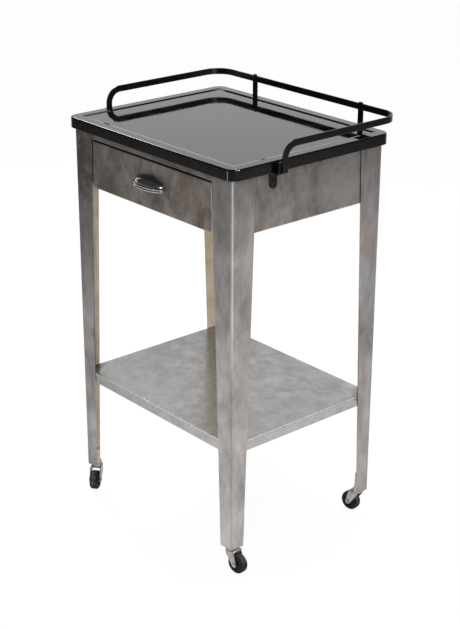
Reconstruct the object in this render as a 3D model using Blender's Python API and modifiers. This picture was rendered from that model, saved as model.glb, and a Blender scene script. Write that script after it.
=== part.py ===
# Medical supply cart with a drawer, a lower shelf, a guard rail and four swivel casters
import math

import bmesh
import bpy
from mathutils import Matrix, Vector

for old in list(bpy.data.objects):
    bpy.data.objects.remove(old, do_unlink=True)

# Driving dimensions in metres, with +Z up and the drawer on the -Y side
CLEAR = 0.0003            # seat between neighbouring pieces
SHEET = 0.0015            # leg and tabletop sheet
THIN = 0.0012             # apron, shelf and drawer sheet

TOP_W = 0.510             # tabletop along X
TOP_D = 0.4064            # tabletop along Y
TOP_Z = 0.8385            # height of the tabletop's raised border
RIM_H = 0.0217            # depth of the turned-down rim
RIM_EDGE_R = 0.0030       # round along the rim's top edge
TOP_CORNER_R = 0.0220     # round of the tabletop's corners in plan
STEP_CORNER_R = 0.0045    # round of the recessed panel's corners
STEP_LAP = 0.0053         # raised border past the aprons
STEP_RUN = 0.0018
STEP_DROP = 0.0016

SIDE_INSET = 0.0125       # legs behind the tabletop's sides, front and back
FRONT_INSET = 0.0108
BACK_INSET = 0.0111
LEG_W_TOP = 0.0580        # flange width under the tabletop
LEG_W_BOTTOM = 0.0323     # flange width at the caster
LEG_BEND_R = 0.0040

APRON_H = 0.1322          # depth of the side and back aprons
FRONT_RAIL_H = 0.0357     # depth of the rail over the drawer
APRON_LIP = 0.0120        # inward fold along the lower edge
APRON_FOLD_R = 0.0020
APRON_INSET = 0.0300      # from the frame's corner to the end of an apron

SHELF_TOP = 0.2830
SHELF_EDGE = 0.0210
SHELF_FOLD_R = 0.0025
SHELF_HEM = 0.0080
SHELF_CORNER_R = 0.0045
SHELF_INNER_R = 0.0012    # least corner round of the folded hem

DRAWER_DROP = 0.0022      # drawer front below the aprons' lower edge
DRAWER_GAP = 0.0016       # above the drawer front
DRAWER_SIDE_GAP = 0.0024  # beside the leg flanges
DRAWER_RETURN = 0.0140    # depth of the drawer front's folded edges
DRAWER_FOLD_R = 0.0018
TRAY_LIFT = 0.0082        # tray floor above the drawer front's lower edge
TRAY_TOP_GAP = 0.0109     # tray below the drawer front's upper edge
TRAY_SIDE_GAP = 0.0011    # tray inside the drawer front's folded edges
TRAY_CORNER_R = 0.0030
TRAY_BACK_GAP = 0.0200    # from the tray to the back of the frame
RUNNER_LEDGE = 0.0125     # ledge under each side of the tray
RUNNER_SET = 0.0008       # runner web outside the flange's inner edge
RUNNER_H = 0.0300
RUNNER_TAB = 0.0260
NOTCH_GAP = 0.0012        # runner ledge behind the drawer front

PULL_W = 0.0920
PULL_H = 0.0235
PULL_OUT = 0.0200
PULL_WALL = 0.0016
PULL_LIFT = 0.0427        # pull's lower lip above the drawer front's lower edge

RAIL_H = 0.0132           # guard rail bar, on edge
RAIL_T = 0.0032
RAIL_EDGE = 0.0006        # eased edges of the bar
RAIL_SIDE = 0.0138        # from the tabletop's side to the bar's outer face
RAIL_BACK = 0.0118        # from the tabletop's back edge to the bar's outer face
RAIL_LIFT = 0.0373        # top of the bar above the tabletop
RAIL_CORNER_R = 0.0420
RAIL_BEND_R = 0.0340      # outside of the bend at the front ends
RAIL_FRONT = 0.1088       # from the tabletop's front edge to the bar's front ends
RAIL_END_DROP = 0.0224    # lower end of the bar below the tabletop's surface

STRAP_T = 0.0025
STRAP_GAP = 0.0015        # under the rim
STRAP_BEND_R = 0.0030
TAB_DROP = 0.0331
BRACKET_W = 0.0170
BRACKET_LUG = 0.0215
BRACKET_LEAD = 0.0068     # bracket ahead of the bar's front end
BRACKET_END_R = 0.0070    # round of the tab under the rim
POST_W = 0.0138
POST_INSET = 0.0980       # posts from the tabletop's sides
POST_TIP = 0.0018         # strap end above the bar
POST_END_R = 0.0050

STEM_INSET = 0.0145       # caster stem from the leg's outer faces
LEG_OVER_WHEEL = 0.0117   # foot of the leg above the wheel
SOCKET_PLATE_T = 0.0025
SOCKET_PLATE_GAP = 0.0020  # plate inside the flange's edge
SOCKET_R = 0.0070
SOCKET_H = 0.0370
STEM_R = 0.0048
STEM_CHAMFER = 0.0010
STEM_DISC_R = 0.0125
STEM_DISC_T = 0.0022
STEM_NECK_R = 0.0040
STEM_HEAD_R = 0.0065
STEM_HEAD_T = 0.0017
WHEEL_D = 0.0413
WHEEL_W = 0.0180
TREAD_R = 0.0050
HUB_R = 0.0120
HUB_BOSS_R = 0.0054
HUB_DISH = 0.0015         # hub face behind the tyre's side
HUB_SIDE = 0.0012         # running gap between the wheel and a fork cheek
AXLE_R = 0.0024
AXLE_HEAD_R = 0.0043
AXLE_HEAD_T = 0.0016
FORK_T = 0.0020
FORK_FOLD_R = 0.0032
FORK_END_R = 0.0056
FORK_NOSE = 0.0136        # crown ahead of the stem
FORK_SHOULDER = 0.0065    # height of the fork's straight back edge
TRAIL = 0.0170
CASTER_YAW = {
    "front_left": 308.0,
    "front_right": 5.0,
    "back_left": 214.0,
    "back_right": 186.0,
}

# Tied values
XR = TOP_W / 2 - SIDE_INSET
YF = -TOP_D / 2 + FRONT_INSET
YB = TOP_D / 2 - BACK_INSET
BEHIND = SHEET + CLEAR
STEP_INSET = max(SIDE_INSET, FRONT_INSET, BACK_INSET) + BEHIND + THIN + STEP_LAP
LEG_BOTTOM = WHEEL_D + LEG_OVER_WHEEL
LEG_TOP = TOP_Z - SHEET - CLEAR
RIM_BOTTOM = TOP_Z - RIM_H
APRON_BOTTOM = LEG_TOP - APRON_H
FRONT_RAIL_BOTTOM = LEG_TOP - FRONT_RAIL_H
RAIL_X = TOP_W / 2 + RAIL_SIDE
RAIL_Y = TOP_D / 2 + RAIL_BACK
RAIL_TOP = TOP_Z + RAIL_LIFT
RAIL_FRONT_Y = -TOP_D / 2 + RAIL_FRONT
POST_X = TOP_W / 2 - POST_INSET
STRAP_BACK_Y = RAIL_Y + CLEAR + STRAP_T
STRAP_LOW = RIM_BOTTOM - STRAP_GAP - STRAP_T
DRAWER_FACE_Y = YF + CLEAR
DRAWER_BOTTOM = APRON_BOTTOM - DRAWER_DROP
DRAWER_TOP = FRONT_RAIL_BOTTOM - DRAWER_GAP
TRAY_FLOOR = DRAWER_BOTTOM + TRAY_LIFT
TRAY_RIM = DRAWER_TOP - TRAY_TOP_GAP
PULL_BASE = DRAWER_BOTTOM + PULL_LIFT
PULL_BACK_Y = DRAWER_FACE_Y - CLEAR
Y_SHIFT = -(min(PULL_BACK_Y - PULL_OUT, -TOP_D / 2) + STRAP_BACK_Y) / 2
WHEEL_R = WHEEL_D / 2
CHEEK_IN = WHEEL_W / 2 + HUB_SIDE
CHEEK_OUT = CHEEK_IN + FORK_T
DISC_TOP = LEG_BOTTOM - CLEAR
DISC_BOTTOM = DISC_TOP - STEM_DISC_T
CROWN_TOP = DISC_BOTTOM - CLEAR
CROWN_BOTTOM = CROWN_TOP - FORK_T
STEM_HEAD_TOP = CROWN_BOTTOM - CLEAR
STEM_END = LEG_BOTTOM + SOCKET_H - STEM_CHAMFER

# Finishes as base colour, roughness and metallic value
STEEL = ((0.36, 0.35, 0.33), 0.42, 1.0)
ENAMEL = ((0.012, 0.012, 0.012), 0.08, 0.0)
BLACK = ((0.015, 0.015, 0.015), 0.35, 0.0)
CHROME = ((0.72, 0.72, 0.72), 0.08, 1.0)
ZINC = ((0.55, 0.55, 0.54), 0.38, 1.0)
RUBBER = ((0.02, 0.02, 0.02), 0.7, 0.0)
PLASTIC = ((0.03, 0.03, 0.03), 0.45, 0.0)

X_AXIS = Vector((1.0, 0.0, 0.0))
Y_AXIS = Vector((0.0, 1.0, 0.0))
Z_AXIS = Vector((0.0, 0.0, 1.0))
ON_SIDE = (-math.pi / 2, 0.0, 0.0)

parts = bpy.data.collections.new("medical_supply_cart")
cutters = bpy.data.collections.new("cutters")
bpy.context.scene.collection.children.link(parts)
bpy.context.scene.collection.children.link(cutters)


def empty(name, parent, location, turn=0.0):
    obj = bpy.data.objects.new(name, None)
    obj.parent = parent
    obj.location = location
    obj.rotation_euler = (0.0, 0.0, turn)
    parts.objects.link(obj)
    return obj


def material(name, colour, roughness, metallic):
    mat = bpy.data.materials.new(name)
    mat.use_nodes = True
    shader = mat.node_tree.nodes["Principled BSDF"]
    shader.inputs["Base Color"].default_value = (*colour, 1.0)
    shader.inputs["Roughness"].default_value = roughness
    shader.inputs["Metallic"].default_value = metallic
    mat.diffuse_color = (*colour, 1.0)
    return mat


def place(name, bm, group, parent, location, rotation):
    mesh = bpy.data.meshes.new(name)
    bm.to_mesh(mesh)
    bm.free()
    obj = bpy.data.objects.new(name, mesh)
    obj.parent = parent
    obj.location = location
    obj.rotation_euler = rotation
    group.objects.link(obj)
    return obj


def part(name, bm, finish, parent, location=(0.0, 0.0, 0.0), rotation=(0.0, 0.0, 0.0)):
    obj = place(name, bm, parts, parent, location, rotation)
    obj.data.materials.append(material(name, *finish))
    obj.data.shade_smooth()
    obj.data.set_sharp_from_angle(angle=math.radians(30.0))
    return obj


def cutter(name, bm, parent, location=(0.0, 0.0, 0.0), rotation=(0.0, 0.0, 0.0)):
    obj = place(name, bm, cutters, parent, location, rotation)
    obj.hide_render = True
    obj.display_type = "WIRE"
    return obj


# Modifiers
def combine(obj, tool, operation):
    mod = obj.modifiers.new(operation.lower(), "BOOLEAN")
    mod.operation = operation
    mod.solver = "EXACT"
    mod.object = tool


def thicken(obj, thickness):
    mod = obj.modifiers.new("sheet", "SOLIDIFY")
    mod.thickness = thickness
    mod.offset = -1.0
    mod.use_even_offset = True
    mod.use_quality_normals = True


def soften(obj, width, segments):
    mod = obj.modifiers.new("eased_edges", "BEVEL")
    mod.width = width
    mod.segments = segments
    mod.limit_method = "ANGLE"
    mod.angle_limit = math.radians(40.0)


def revolve(obj, steps):
    mod = obj.modifiers.new("turned", "SCREW")
    mod.steps = steps
    mod.render_steps = steps
    mod.use_merge_vertices = True
    mod.merge_threshold = 0.00001
    mod.use_smooth_shade = False


# Shapes
def arc(cx, cy, radius, start, end, steps):
    points = []
    for k in range(steps + 1):
        a = math.radians(start + (end - start) * k / steps)
        points.append((cx + radius * math.cos(a), cy + radius * math.sin(a)))
    return points


def rounded_box(x0, x1, y0, y1, radius, steps):
    points = arc(x1 - radius, y0 + radius, radius, -90.0, 0.0, steps)
    points += arc(x1 - radius, y1 - radius, radius, 0.0, 90.0, steps)
    points += arc(x0 + radius, y1 - radius, radius, 90.0, 180.0, steps)
    points += arc(x0 + radius, y0 + radius, radius, 180.0, 270.0, steps)
    return points


def new_verts(grown):
    return [g for g in grown["geom"] if isinstance(g, bmesh.types.BMVert)]


def show_side(bm, direction):
    bmesh.ops.recalc_face_normals(bm, faces=bm.faces)
    lead = max(bm.faces, key=lambda f: abs(f.normal.dot(direction)) * f.calc_area())
    if lead.normal.dot(direction) < 0.0:
        bmesh.ops.reverse_faces(bm, faces=bm.faces)


def profile_line(points):
    bm = bmesh.new()
    verts = [bm.verts.new(p) for p in points]
    for pair in zip(verts, verts[1:]):
        bm.edges.new(pair)
    return bm


def turned(profile, ring=False):
    bm = profile_line([(r, 0.0, z) for r, z in profile])
    if ring:
        bm.verts.ensure_lookup_table()
        bm.edges.new((bm.verts[-1], bm.verts[0]))
    return bm


def extruded(points, direction):
    bm = bmesh.new()
    face = bm.faces.new([bm.verts.new(p) for p in points])
    grown = bmesh.ops.extrude_face_region(bm, geom=[face])
    bmesh.ops.translate(bm, verts=new_verts(grown), vec=direction)
    bmesh.ops.recalc_face_normals(bm, faces=bm.faces)
    return bm


def strip(points, direction, fold, widen=None):
    bm = profile_line(points)
    grown = bmesh.ops.extrude_edge_only(bm, edges=bm.edges[:])
    far = new_verts(grown)
    if widen:
        about, factor = widen
        bmesh.ops.scale(bm, vec=(factor, factor, 1.0), space=Matrix.Translation(-about), verts=far)
    bmesh.ops.translate(bm, verts=far, vec=direction)
    bends = [e for e in bm.edges if len(e.link_faces) == 2]
    bmesh.ops.bevel(bm, geom=bends, offset=fold, offset_type="OFFSET", segments=4, profile=0.5, affect="EDGES")
    return bm


def round_corners(bm, level, radius):
    tips = [v for v in bm.verts if abs(v.co.z - level) < CLEAR]
    bmesh.ops.bevel(bm, geom=tips, offset=radius, offset_type="OFFSET", segments=5, profile=0.5, affect="VERTICES")


def pan(rings):
    bm = bmesh.new()
    rim = [bm.verts.new(p) for p in rings[0]]
    bm.faces.new(rim)
    for ring in rings[1:]:
        edges = [bm.edges.get(pair) for pair in zip(rim, rim[1:] + rim[:1])]
        fresh = set(new_verts(bmesh.ops.extrude_edge_only(bm, edges=edges)))
        rim = [next(e.other_vert(v) for e in v.link_edges if e.other_vert(v) in fresh) for v in rim]
        for vert, point in zip(rim, ring):
            vert.co = point
    return bm


def block(low, high):
    bm = bmesh.new()
    bmesh.ops.create_cube(bm, size=1.0)
    lo = Vector(low)
    hi = Vector(high)
    bmesh.ops.scale(bm, vec=hi - lo, verts=bm.verts)
    bmesh.ops.translate(bm, verts=bm.verts, vec=(lo + hi) / 2)
    return bm


def drill(radius, low, high, segments):
    bm = bmesh.new()
    bmesh.ops.create_cone(bm, cap_ends=True, segments=segments, radius1=radius, radius2=radius, depth=high - low)
    bmesh.ops.translate(bm, verts=bm.verts, vec=(0.0, 0.0, (low + high) / 2))
    return bm


# Tabletop, a pressed pan with a recessed panel and a turned-down rim
def tabletop(cart):
    path = [(STEP_INSET + STEP_RUN, -STEP_DROP), (STEP_INSET, 0.0)]
    path += arc(RIM_EDGE_R, -RIM_EDGE_R, RIM_EDGE_R, 90.0, 180.0, 4)
    path += [(0.0, -RIM_H)]
    rings = []
    for inset, drop in path:
        hx = TOP_W / 2 - inset
        hy = TOP_D / 2 - inset
        radius = max(TOP_CORNER_R - inset, STEP_CORNER_R)
        rings.append([(x, y, TOP_Z + drop) for x, y in rounded_box(-hx, hx, -hy, hy, radius, 5)])
    bm = pan(rings)
    show_side(bm, Z_AXIS)
    obj = part("tabletop", bm, ENAMEL, cart)
    thicken(obj, SHEET)


# Legs, tapered angles folded from sheet
def leg_width(z):
    share = (z - LEG_BOTTOM) / (LEG_TOP - LEG_BOTTOM)
    return LEG_W_BOTTOM + share * (LEG_W_TOP - LEG_W_BOTTOM)


def leg(name, cart, side, front):
    x = side * XR
    y = YF if front else YB
    inward = 1.0 if front else -1.0
    corner = Vector((x, y, LEG_BOTTOM))
    ends = [corner + Y_AXIS * inward * LEG_W_BOTTOM, corner, corner - X_AXIS * side * LEG_W_BOTTOM]
    bm = strip(ends, Z_AXIS * (LEG_TOP - LEG_BOTTOM), LEG_BEND_R, (corner, LEG_W_TOP / LEG_W_BOTTOM))
    show_side(bm, X_AXIS * side)
    obj = part(name, bm, STEEL, cart)
    thicken(obj, SHEET)


# Aprons and front rail, folded angles behind the leg flanges
def apron(name, cart, face, inward, along, bottom):
    start = face - along / 2
    points = [start + Z_AXIS * LEG_TOP, start + Z_AXIS * bottom, start + Z_AXIS * bottom + inward * APRON_LIP]
    bm = strip(points, along, APRON_FOLD_R)
    show_side(bm, -inward)
    obj = part(name, bm, STEEL, cart)
    thicken(obj, THIN)


def aprons(cart):
    mid = (YF + YB) / 2
    depth = Y_AXIS * (YB - YF - 2 * APRON_INSET)
    width = X_AXIS * 2 * (XR - APRON_INSET)
    face = XR - BEHIND
    apron("side_apron_left", cart, Vector((-face, mid, 0.0)), X_AXIS, depth, APRON_BOTTOM)
    apron("side_apron_right", cart, Vector((face, mid, 0.0)), -X_AXIS, depth, APRON_BOTTOM)
    apron("back_apron", cart, Vector((0.0, YB - BEHIND, 0.0)), -Y_AXIS, width, APRON_BOTTOM)
    apron("front_rail", cart, Vector((0.0, YF + BEHIND, 0.0)), Y_AXIS, width, FRONT_RAIL_BOTTOM)


# Lower shelf, a folded pan with a hem, seated inside the four legs
def shelf(cart):
    hx = XR - BEHIND
    y0 = YF + BEHIND
    y1 = YB - BEHIND
    path = arc(SHELF_FOLD_R, -SHELF_FOLD_R, SHELF_FOLD_R, 90.0, 180.0, 3)
    path += [(0.0, -SHELF_EDGE), (SHELF_HEM, -SHELF_EDGE)]
    rings = []
    for inset, drop in path:
        radius = max(SHELF_CORNER_R - inset, SHELF_INNER_R)
        flat = rounded_box(-hx + inset, hx - inset, y0 + inset, y1 - inset, radius, 3)
        rings.append([(x, y, SHELF_TOP + drop) for x, y in flat])
    bm = pan(rings)
    show_side(bm, Z_AXIS)
    obj = part("shelf", bm, STEEL, cart)
    thicken(obj, THIN)


# Drawer: folded front, open tray and cup pull
def drawer_half_width(z):
    return XR - leg_width(z) - DRAWER_SIDE_GAP


def drawer(cart):
    path = arc(DRAWER_FOLD_R, DRAWER_FOLD_R, DRAWER_FOLD_R, 270.0, 180.0, 3)
    path += [(0.0, DRAWER_RETURN)]
    rings = []
    for inset, depth in path:
        wide_low = drawer_half_width(DRAWER_BOTTOM) - inset
        wide_high = drawer_half_width(DRAWER_TOP) - inset
        low = DRAWER_BOTTOM + inset
        high = DRAWER_TOP - inset
        y = DRAWER_FACE_Y + depth
        rings.append([(-wide_low, y, low), (wide_low, y, low), (wide_high, y, high), (-wide_high, y, high)])
    bm = pan(rings)
    show_side(bm, -Y_AXIS)
    obj = part("drawer_front", bm, STEEL, cart)
    thicken(obj, THIN)

    hx = drawer_half_width(DRAWER_TOP) - THIN - TRAY_SIDE_GAP
    y0 = DRAWER_FACE_Y + THIN + CLEAR
    bm = block((-hx, y0, TRAY_FLOOR), (hx, YB - TRAY_BACK_GAP, TRAY_RIM))
    lid = [f for f in bm.faces if f.normal.z > 0.5]
    bmesh.ops.delete(bm, geom=lid, context="FACES")
    corners = [e for e in bm.edges if abs(e.verts[0].co.z - e.verts[1].co.z) > TRAY_CORNER_R]
    bmesh.ops.bevel(bm, geom=corners, offset=TRAY_CORNER_R, offset_type="OFFSET", segments=3, profile=0.5, affect="EDGES")
    obj = part("drawer_tray", bm, STEEL, cart)
    thicken(obj, THIN)

    seat = (0.0, PULL_BACK_Y, PULL_BASE)
    obj = part("drawer_pull", hood(0.0), CHROME, cart, seat)
    quarter = block((-PULL_W, -PULL_OUT * 2, 0.0), (PULL_W, 0.0, PULL_H * 2))
    combine(obj, cutter("pull_quarter", quarter, cart, seat), "INTERSECT")
    combine(obj, cutter("pull_hollow", hood(PULL_WALL), cart, seat), "DIFFERENCE")


# Cup pull, a swollen shell drawn out of a ball with a fuller brow
def hood(wall):
    def full(value, power):
        return math.copysign(abs(value) ** power, value)

    turns = 26
    half_step = math.pi / turns
    chord = math.cos(half_step) ** 0.9
    bm = bmesh.new()
    bmesh.ops.create_uvsphere(bm, u_segments=turns, v_segments=16, radius=1.0)
    for v in bm.verts:
        around = math.atan2(v.co.y, v.co.x) + half_step
        rise = max(1.0 - v.co.z * v.co.z, 0.0) ** 0.40 / chord
        across = (PULL_W / 2 - wall) * full(v.co.z, 0.9)
        out = (PULL_OUT - wall) * rise * full(math.sin(around), 0.9)
        up = (PULL_H - wall) * rise * full(math.cos(around), 0.9)
        v.co = (across, out, up)
    if bm.calc_volume(signed=True) < 0.0:
        bmesh.ops.reverse_faces(bm, faces=bm.faces)
    return bm


# Fixed runners, ledges under the tray with tabs on the legs and the back apron
def runners(cart):
    hx = drawer_half_width(DRAWER_TOP) - THIN - TRAY_SIDE_GAP
    ledge = TRAY_FLOOR - CLEAR
    low = ledge - THIN
    high = ledge + RUNNER_H
    web = XR - leg_width(DRAWER_BOTTOM) + RUNNER_SET
    start = YF + BEHIND
    notch = DRAWER_FACE_Y + DRAWER_RETURN + NOTCH_GAP
    stop = YB - BEHIND - THIN - CLEAR
    bite = THIN / 10
    angle = [(hx - RUNNER_LEDGE, low), (hx - RUNNER_LEDGE, ledge), (web, ledge)]
    angle += [(web, high), (web + THIN, high), (web + THIN, low)]
    cheek = [(web + bite, low + bite), (web + bite, high - bite)]
    cheek += [(web + THIN - bite, high - bite), (web + THIN - bite, low + bite)]
    tab = [(web + THIN / 2, low), (web + THIN / 2, high), (web + RUNNER_TAB, high), (web + RUNNER_TAB, low)]
    welded = (
        ("cheek", cheek, start + bite, notch + RUNNER_LEDGE),
        ("front_tab", tab, start, start + THIN),
        ("back_tab", tab, stop - THIN, stop),
    )
    for name, side in (("drawer_runner_left", -1), ("drawer_runner_right", 1)):
        bm = extruded([(side * a, notch, z) for a, z in angle], Y_AXIS * (stop - bite - notch))
        obj = part(name, bm, STEEL, cart)
        for label, shape, near, far in welded:
            bm = extruded([(side * a, near, z) for a, z in shape], Y_AXIS * (far - near))
            combine(obj, cutter(name + "_" + label, bm, cart), "UNION")


# Guard rail, one flat bar on edge with its front ends bent down the hard way
def guard_rail(cart):
    bm = bmesh.new()
    foot = TOP_Z - RAIL_END_DROP
    near = bm.verts.new((-RAIL_X, RAIL_FRONT_Y, foot))
    far = bm.verts.new((-RAIL_X, RAIL_FRONT_Y + RAIL_H, foot))
    tip = [bm.edges.new((near, far))]

    def straight(edges, run):
        grown = bmesh.ops.extrude_edge_only(bm, edges=edges)
        bmesh.ops.translate(bm, verts=new_verts(grown), vec=run)
        return [g for g in grown["geom"] if isinstance(g, bmesh.types.BMEdge) and all(v in new_verts(grown) for v in g.verts)]

    def bend(edges, centre, axis, degrees):
        verts = list({v for e in edges for v in e.verts})
        spun = bmesh.ops.spin(bm, geom=edges + verts, cent=centre, axis=axis, angle=math.radians(degrees), steps=6)
        return [g for g in spun["geom_last"] if isinstance(g, bmesh.types.BMEdge)]

    high = RAIL_TOP - RAIL_BEND_R
    bend_y = RAIL_FRONT_Y + RAIL_BEND_R
    turn_x = RAIL_X - RAIL_CORNER_R
    turn_y = RAIL_Y - RAIL_CORNER_R
    tip = straight(tip, Z_AXIS * (high - foot))
    tip = bend(tip, (-RAIL_X, bend_y, high), X_AXIS, -90.0)
    tip = straight(tip, Y_AXIS * (turn_y - bend_y))
    tip = bend(tip, (-turn_x, turn_y, RAIL_TOP), Z_AXIS, -90.0)
    tip = straight(tip, X_AXIS * 2 * turn_x)
    tip = bend(tip, (turn_x, turn_y, RAIL_TOP), Z_AXIS, -90.0)
    tip = straight(tip, -Y_AXIS * (turn_y - bend_y))
    tip = bend(tip, (RAIL_X, bend_y, high), X_AXIS, 90.0)
    straight(tip, -Z_AXIS * (high - foot))
    bmesh.ops.remove_doubles(bm, verts=bm.verts, dist=0.00001)
    show_side(bm, Y_AXIS)
    obj = part("guard_rail", bm, BLACK, cart)
    thicken(obj, RAIL_T)
    soften(obj, RAIL_EDGE, 2)


# Straps that carry the guard rail from the aprons, cranked round the rim
def strap(name, cart, origin, outward, across, reach, tip, end_r, tip_r):
    foot = STRAP_LOW + STRAP_T - TAB_DROP
    start = origin - across / 2 + outward * STRAP_T
    points = [
        start + Z_AXIS * foot,
        start + Z_AXIS * STRAP_LOW,
        start + Z_AXIS * STRAP_LOW + outward * reach,
        start + Z_AXIS * tip + outward * reach,
    ]
    bm = strip(points, across, STRAP_BEND_R)
    round_corners(bm, foot, end_r)
    round_corners(bm, tip, tip_r)
    show_side(bm, outward)
    obj = part(name, bm, BLACK, cart)
    thicken(obj, STRAP_T)


def straps(cart):
    lug = STRAP_LOW + STRAP_T + BRACKET_LUG
    near = XR - BEHIND + CLEAR
    reach = RAIL_X - RAIL_T - CLEAR - near - STRAP_T
    mid_y = RAIL_FRONT_Y - BRACKET_LEAD + BRACKET_W / 2
    for name, side in (("rail_bracket_left", -1), ("rail_bracket_right", 1)):
        origin = Vector((side * near, mid_y, 0.0))
        strap(name, cart, origin, X_AXIS * side, Y_AXIS * BRACKET_W, reach, lug, BRACKET_END_R, POST_END_R)
    near = YB - BEHIND + CLEAR
    reach = STRAP_BACK_Y - near - STRAP_T
    tip = RAIL_TOP + POST_TIP
    for name, side in (("rail_post_left", -1), ("rail_post_right", 1)):
        origin = Vector((side * POST_X, near, 0.0))
        strap(name, cart, origin, Y_AXIS, X_AXIS * POST_W, reach, tip, POST_END_R, POST_END_R)


# Casters: socket and stem on the frame, fork and axle that swivel, hub and tyre that roll
def caster_mount(tag, cart, stem, side, front):
    inward = Vector((-side, 1.0 if front else -1.0, 0.0))
    near = -(STEM_INSET - BEHIND)
    reach = LEG_W_BOTTOM - SOCKET_PLATE_GAP - STEM_INSET
    cut = near + LEG_BEND_R
    square = [(cut, near), (reach, near), (reach, reach), (near, reach), (near, cut)]
    plate = [(a * inward.x, b * inward.y, LEG_BOTTOM) for a, b in square]
    socket = part("caster_socket_" + tag, extruded(plate, Z_AXIS * SOCKET_PLATE_T), STEEL, cart, stem)
    tube = drill(SOCKET_R, LEG_BOTTOM + SOCKET_PLATE_T / 2, LEG_BOTTOM + SOCKET_H, 16)
    combine(socket, cutter("socket_tube_" + tag, tube, cart, stem), "UNION")
    bore = drill(STEM_R + CLEAR, LEG_BOTTOM - SOCKET_R, LEG_BOTTOM + SOCKET_H + SOCKET_R, 16)
    combine(socket, cutter("socket_bore_" + tag, bore, cart, stem), "DIFFERENCE")

    profile = [
        (0.0, STEM_END),
        (STEM_R - STEM_CHAMFER, STEM_END),
        (STEM_R, STEM_END - STEM_CHAMFER),
        (STEM_R, DISC_TOP),
        (STEM_DISC_R - STEM_CHAMFER, DISC_TOP),
        (STEM_DISC_R, DISC_TOP - STEM_CHAMFER),
        (STEM_DISC_R, DISC_BOTTOM),
        (STEM_NECK_R, DISC_BOTTOM),
        (STEM_NECK_R, STEM_HEAD_TOP),
        (STEM_HEAD_R, STEM_HEAD_TOP),
        (STEM_HEAD_R - STEM_CHAMFER, STEM_HEAD_TOP - STEM_HEAD_T),
        (0.0, STEM_HEAD_TOP - STEM_HEAD_T),
    ]
    revolve(part("caster_stem_" + tag, turned(profile), ZINC, cart, stem), 20)


def caster_fork(tag, swivel):
    arch = [
        (-STEM_DISC_R * 2, -CHEEK_OUT, 0.0),
        (-STEM_DISC_R * 2, -CHEEK_OUT, CROWN_TOP),
        (-STEM_DISC_R * 2, CHEEK_OUT, CROWN_TOP),
        (-STEM_DISC_R * 2, CHEEK_OUT, 0.0),
    ]
    bm = strip(arch, X_AXIS * (STEM_DISC_R * 2 + TRAIL * 2), FORK_FOLD_R)
    show_side(bm, Z_AXIS)
    fork = part("caster_fork_" + tag, bm, ZINC, swivel)
    thicken(fork, FORK_T)
    top = CROWN_TOP + FORK_T
    side = [(FORK_NOSE, top), (-CHEEK_OUT * 2, top), (-CHEEK_OUT * 2, CROWN_TOP - FORK_SHOULDER)]
    side += [(-CHEEK_OUT * 0.6, CROWN_TOP - FORK_SHOULDER)]
    side += arc(TRAIL, WHEEL_R, FORK_END_R, 215.0, 380.0, 8)
    cheeks = extruded([(x, -CHEEK_OUT * 2, z) for x, z in side], Y_AXIS * CHEEK_OUT * 4)
    combine(fork, cutter("fork_side_" + tag, cheeks, swivel), "INTERSECT")
    round_back = arc(0.0, 0.0, CHEEK_OUT + CLEAR, 90.0, 270.0, 12)
    round_back += [(TRAIL * 3, -CHEEK_OUT - CLEAR), (TRAIL * 3, CHEEK_OUT + CLEAR)]
    plan = extruded([(x, y, -top) for x, y in round_back], Z_AXIS * top * 3)
    combine(fork, cutter("fork_plan_" + tag, plan, swivel), "INTERSECT")
    hole = drill(STEM_NECK_R + CLEAR, CROWN_BOTTOM - FORK_T, CROWN_TOP + FORK_T, 20)
    combine(fork, cutter("fork_stem_hole_" + tag, hole, swivel), "DIFFERENCE")
    hole = drill(AXLE_R + CLEAR, -CHEEK_OUT * 2, CHEEK_OUT * 2, 12)
    combine(fork, cutter("fork_axle_hole_" + tag, hole, swivel, (TRAIL, 0.0, WHEEL_R), ON_SIDE), "DIFFERENCE")


def caster_wheel(tag, swivel):
    seat = CHEEK_OUT + CLEAR
    tip = seat + AXLE_HEAD_T
    dome = AXLE_HEAD_T * 0.75
    profile = [
        (0.0, tip),
        (AXLE_HEAD_R - dome, tip),
        (AXLE_HEAD_R, tip - dome),
        (AXLE_HEAD_R, seat),
        (AXLE_R, seat),
        (AXLE_R, -seat),
        (AXLE_HEAD_R, -seat),
        (AXLE_HEAD_R, dome - tip),
        (AXLE_HEAD_R - dome, -tip),
        (0.0, -tip),
    ]
    hub = (TRAIL, 0.0, WHEEL_R)
    revolve(part("caster_axle_" + tag, turned(profile), ZINC, swivel, hub, ON_SIDE), 16)

    boss = CHEEK_IN - CLEAR
    bore = AXLE_R + CLEAR
    face = WHEEL_W / 2 - HUB_DISH
    profile = [
        (HUB_BOSS_R, boss),
        (HUB_BOSS_R + HUB_DISH, face),
        (HUB_R, face),
        (HUB_R, -face),
        (HUB_BOSS_R + HUB_DISH, -face),
        (HUB_BOSS_R, -boss),
        (bore, -boss),
        (bore, boss),
    ]
    revolve(part("caster_hub_" + tag, turned(profile, True), PLASTIC, swivel, hub, ON_SIDE), 20)

    inside = HUB_R + CLEAR
    flat = WHEEL_W / 2 - TREAD_R
    shoulder = WHEEL_R - TREAD_R
    profile = [(inside, WHEEL_W / 2)]
    profile += [(shoulder + r, flat + t) for t, r in arc(0.0, 0.0, TREAD_R, 0.0, 90.0, 4)]
    profile += [(shoulder + r, -flat - t) for t, r in arc(0.0, 0.0, TREAD_R, 90.0, 0.0, 4)]
    profile += [(inside, -WHEEL_W / 2)]
    obj = part("caster_tyre_" + tag, turned(profile, True), RUBBER, swivel, hub, ON_SIDE)
    revolve(obj, 32)


def caster(tag, cart, side, front):
    stem = (side * (XR - STEM_INSET), YF + STEM_INSET if front else YB - STEM_INSET, 0.0)
    caster_mount(tag, cart, stem, side, front)
    swivel = empty("swivel_" + tag, cart, stem, math.radians(CASTER_YAW[tag]))
    caster_fork(tag, swivel)
    caster_wheel(tag, swivel)


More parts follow.
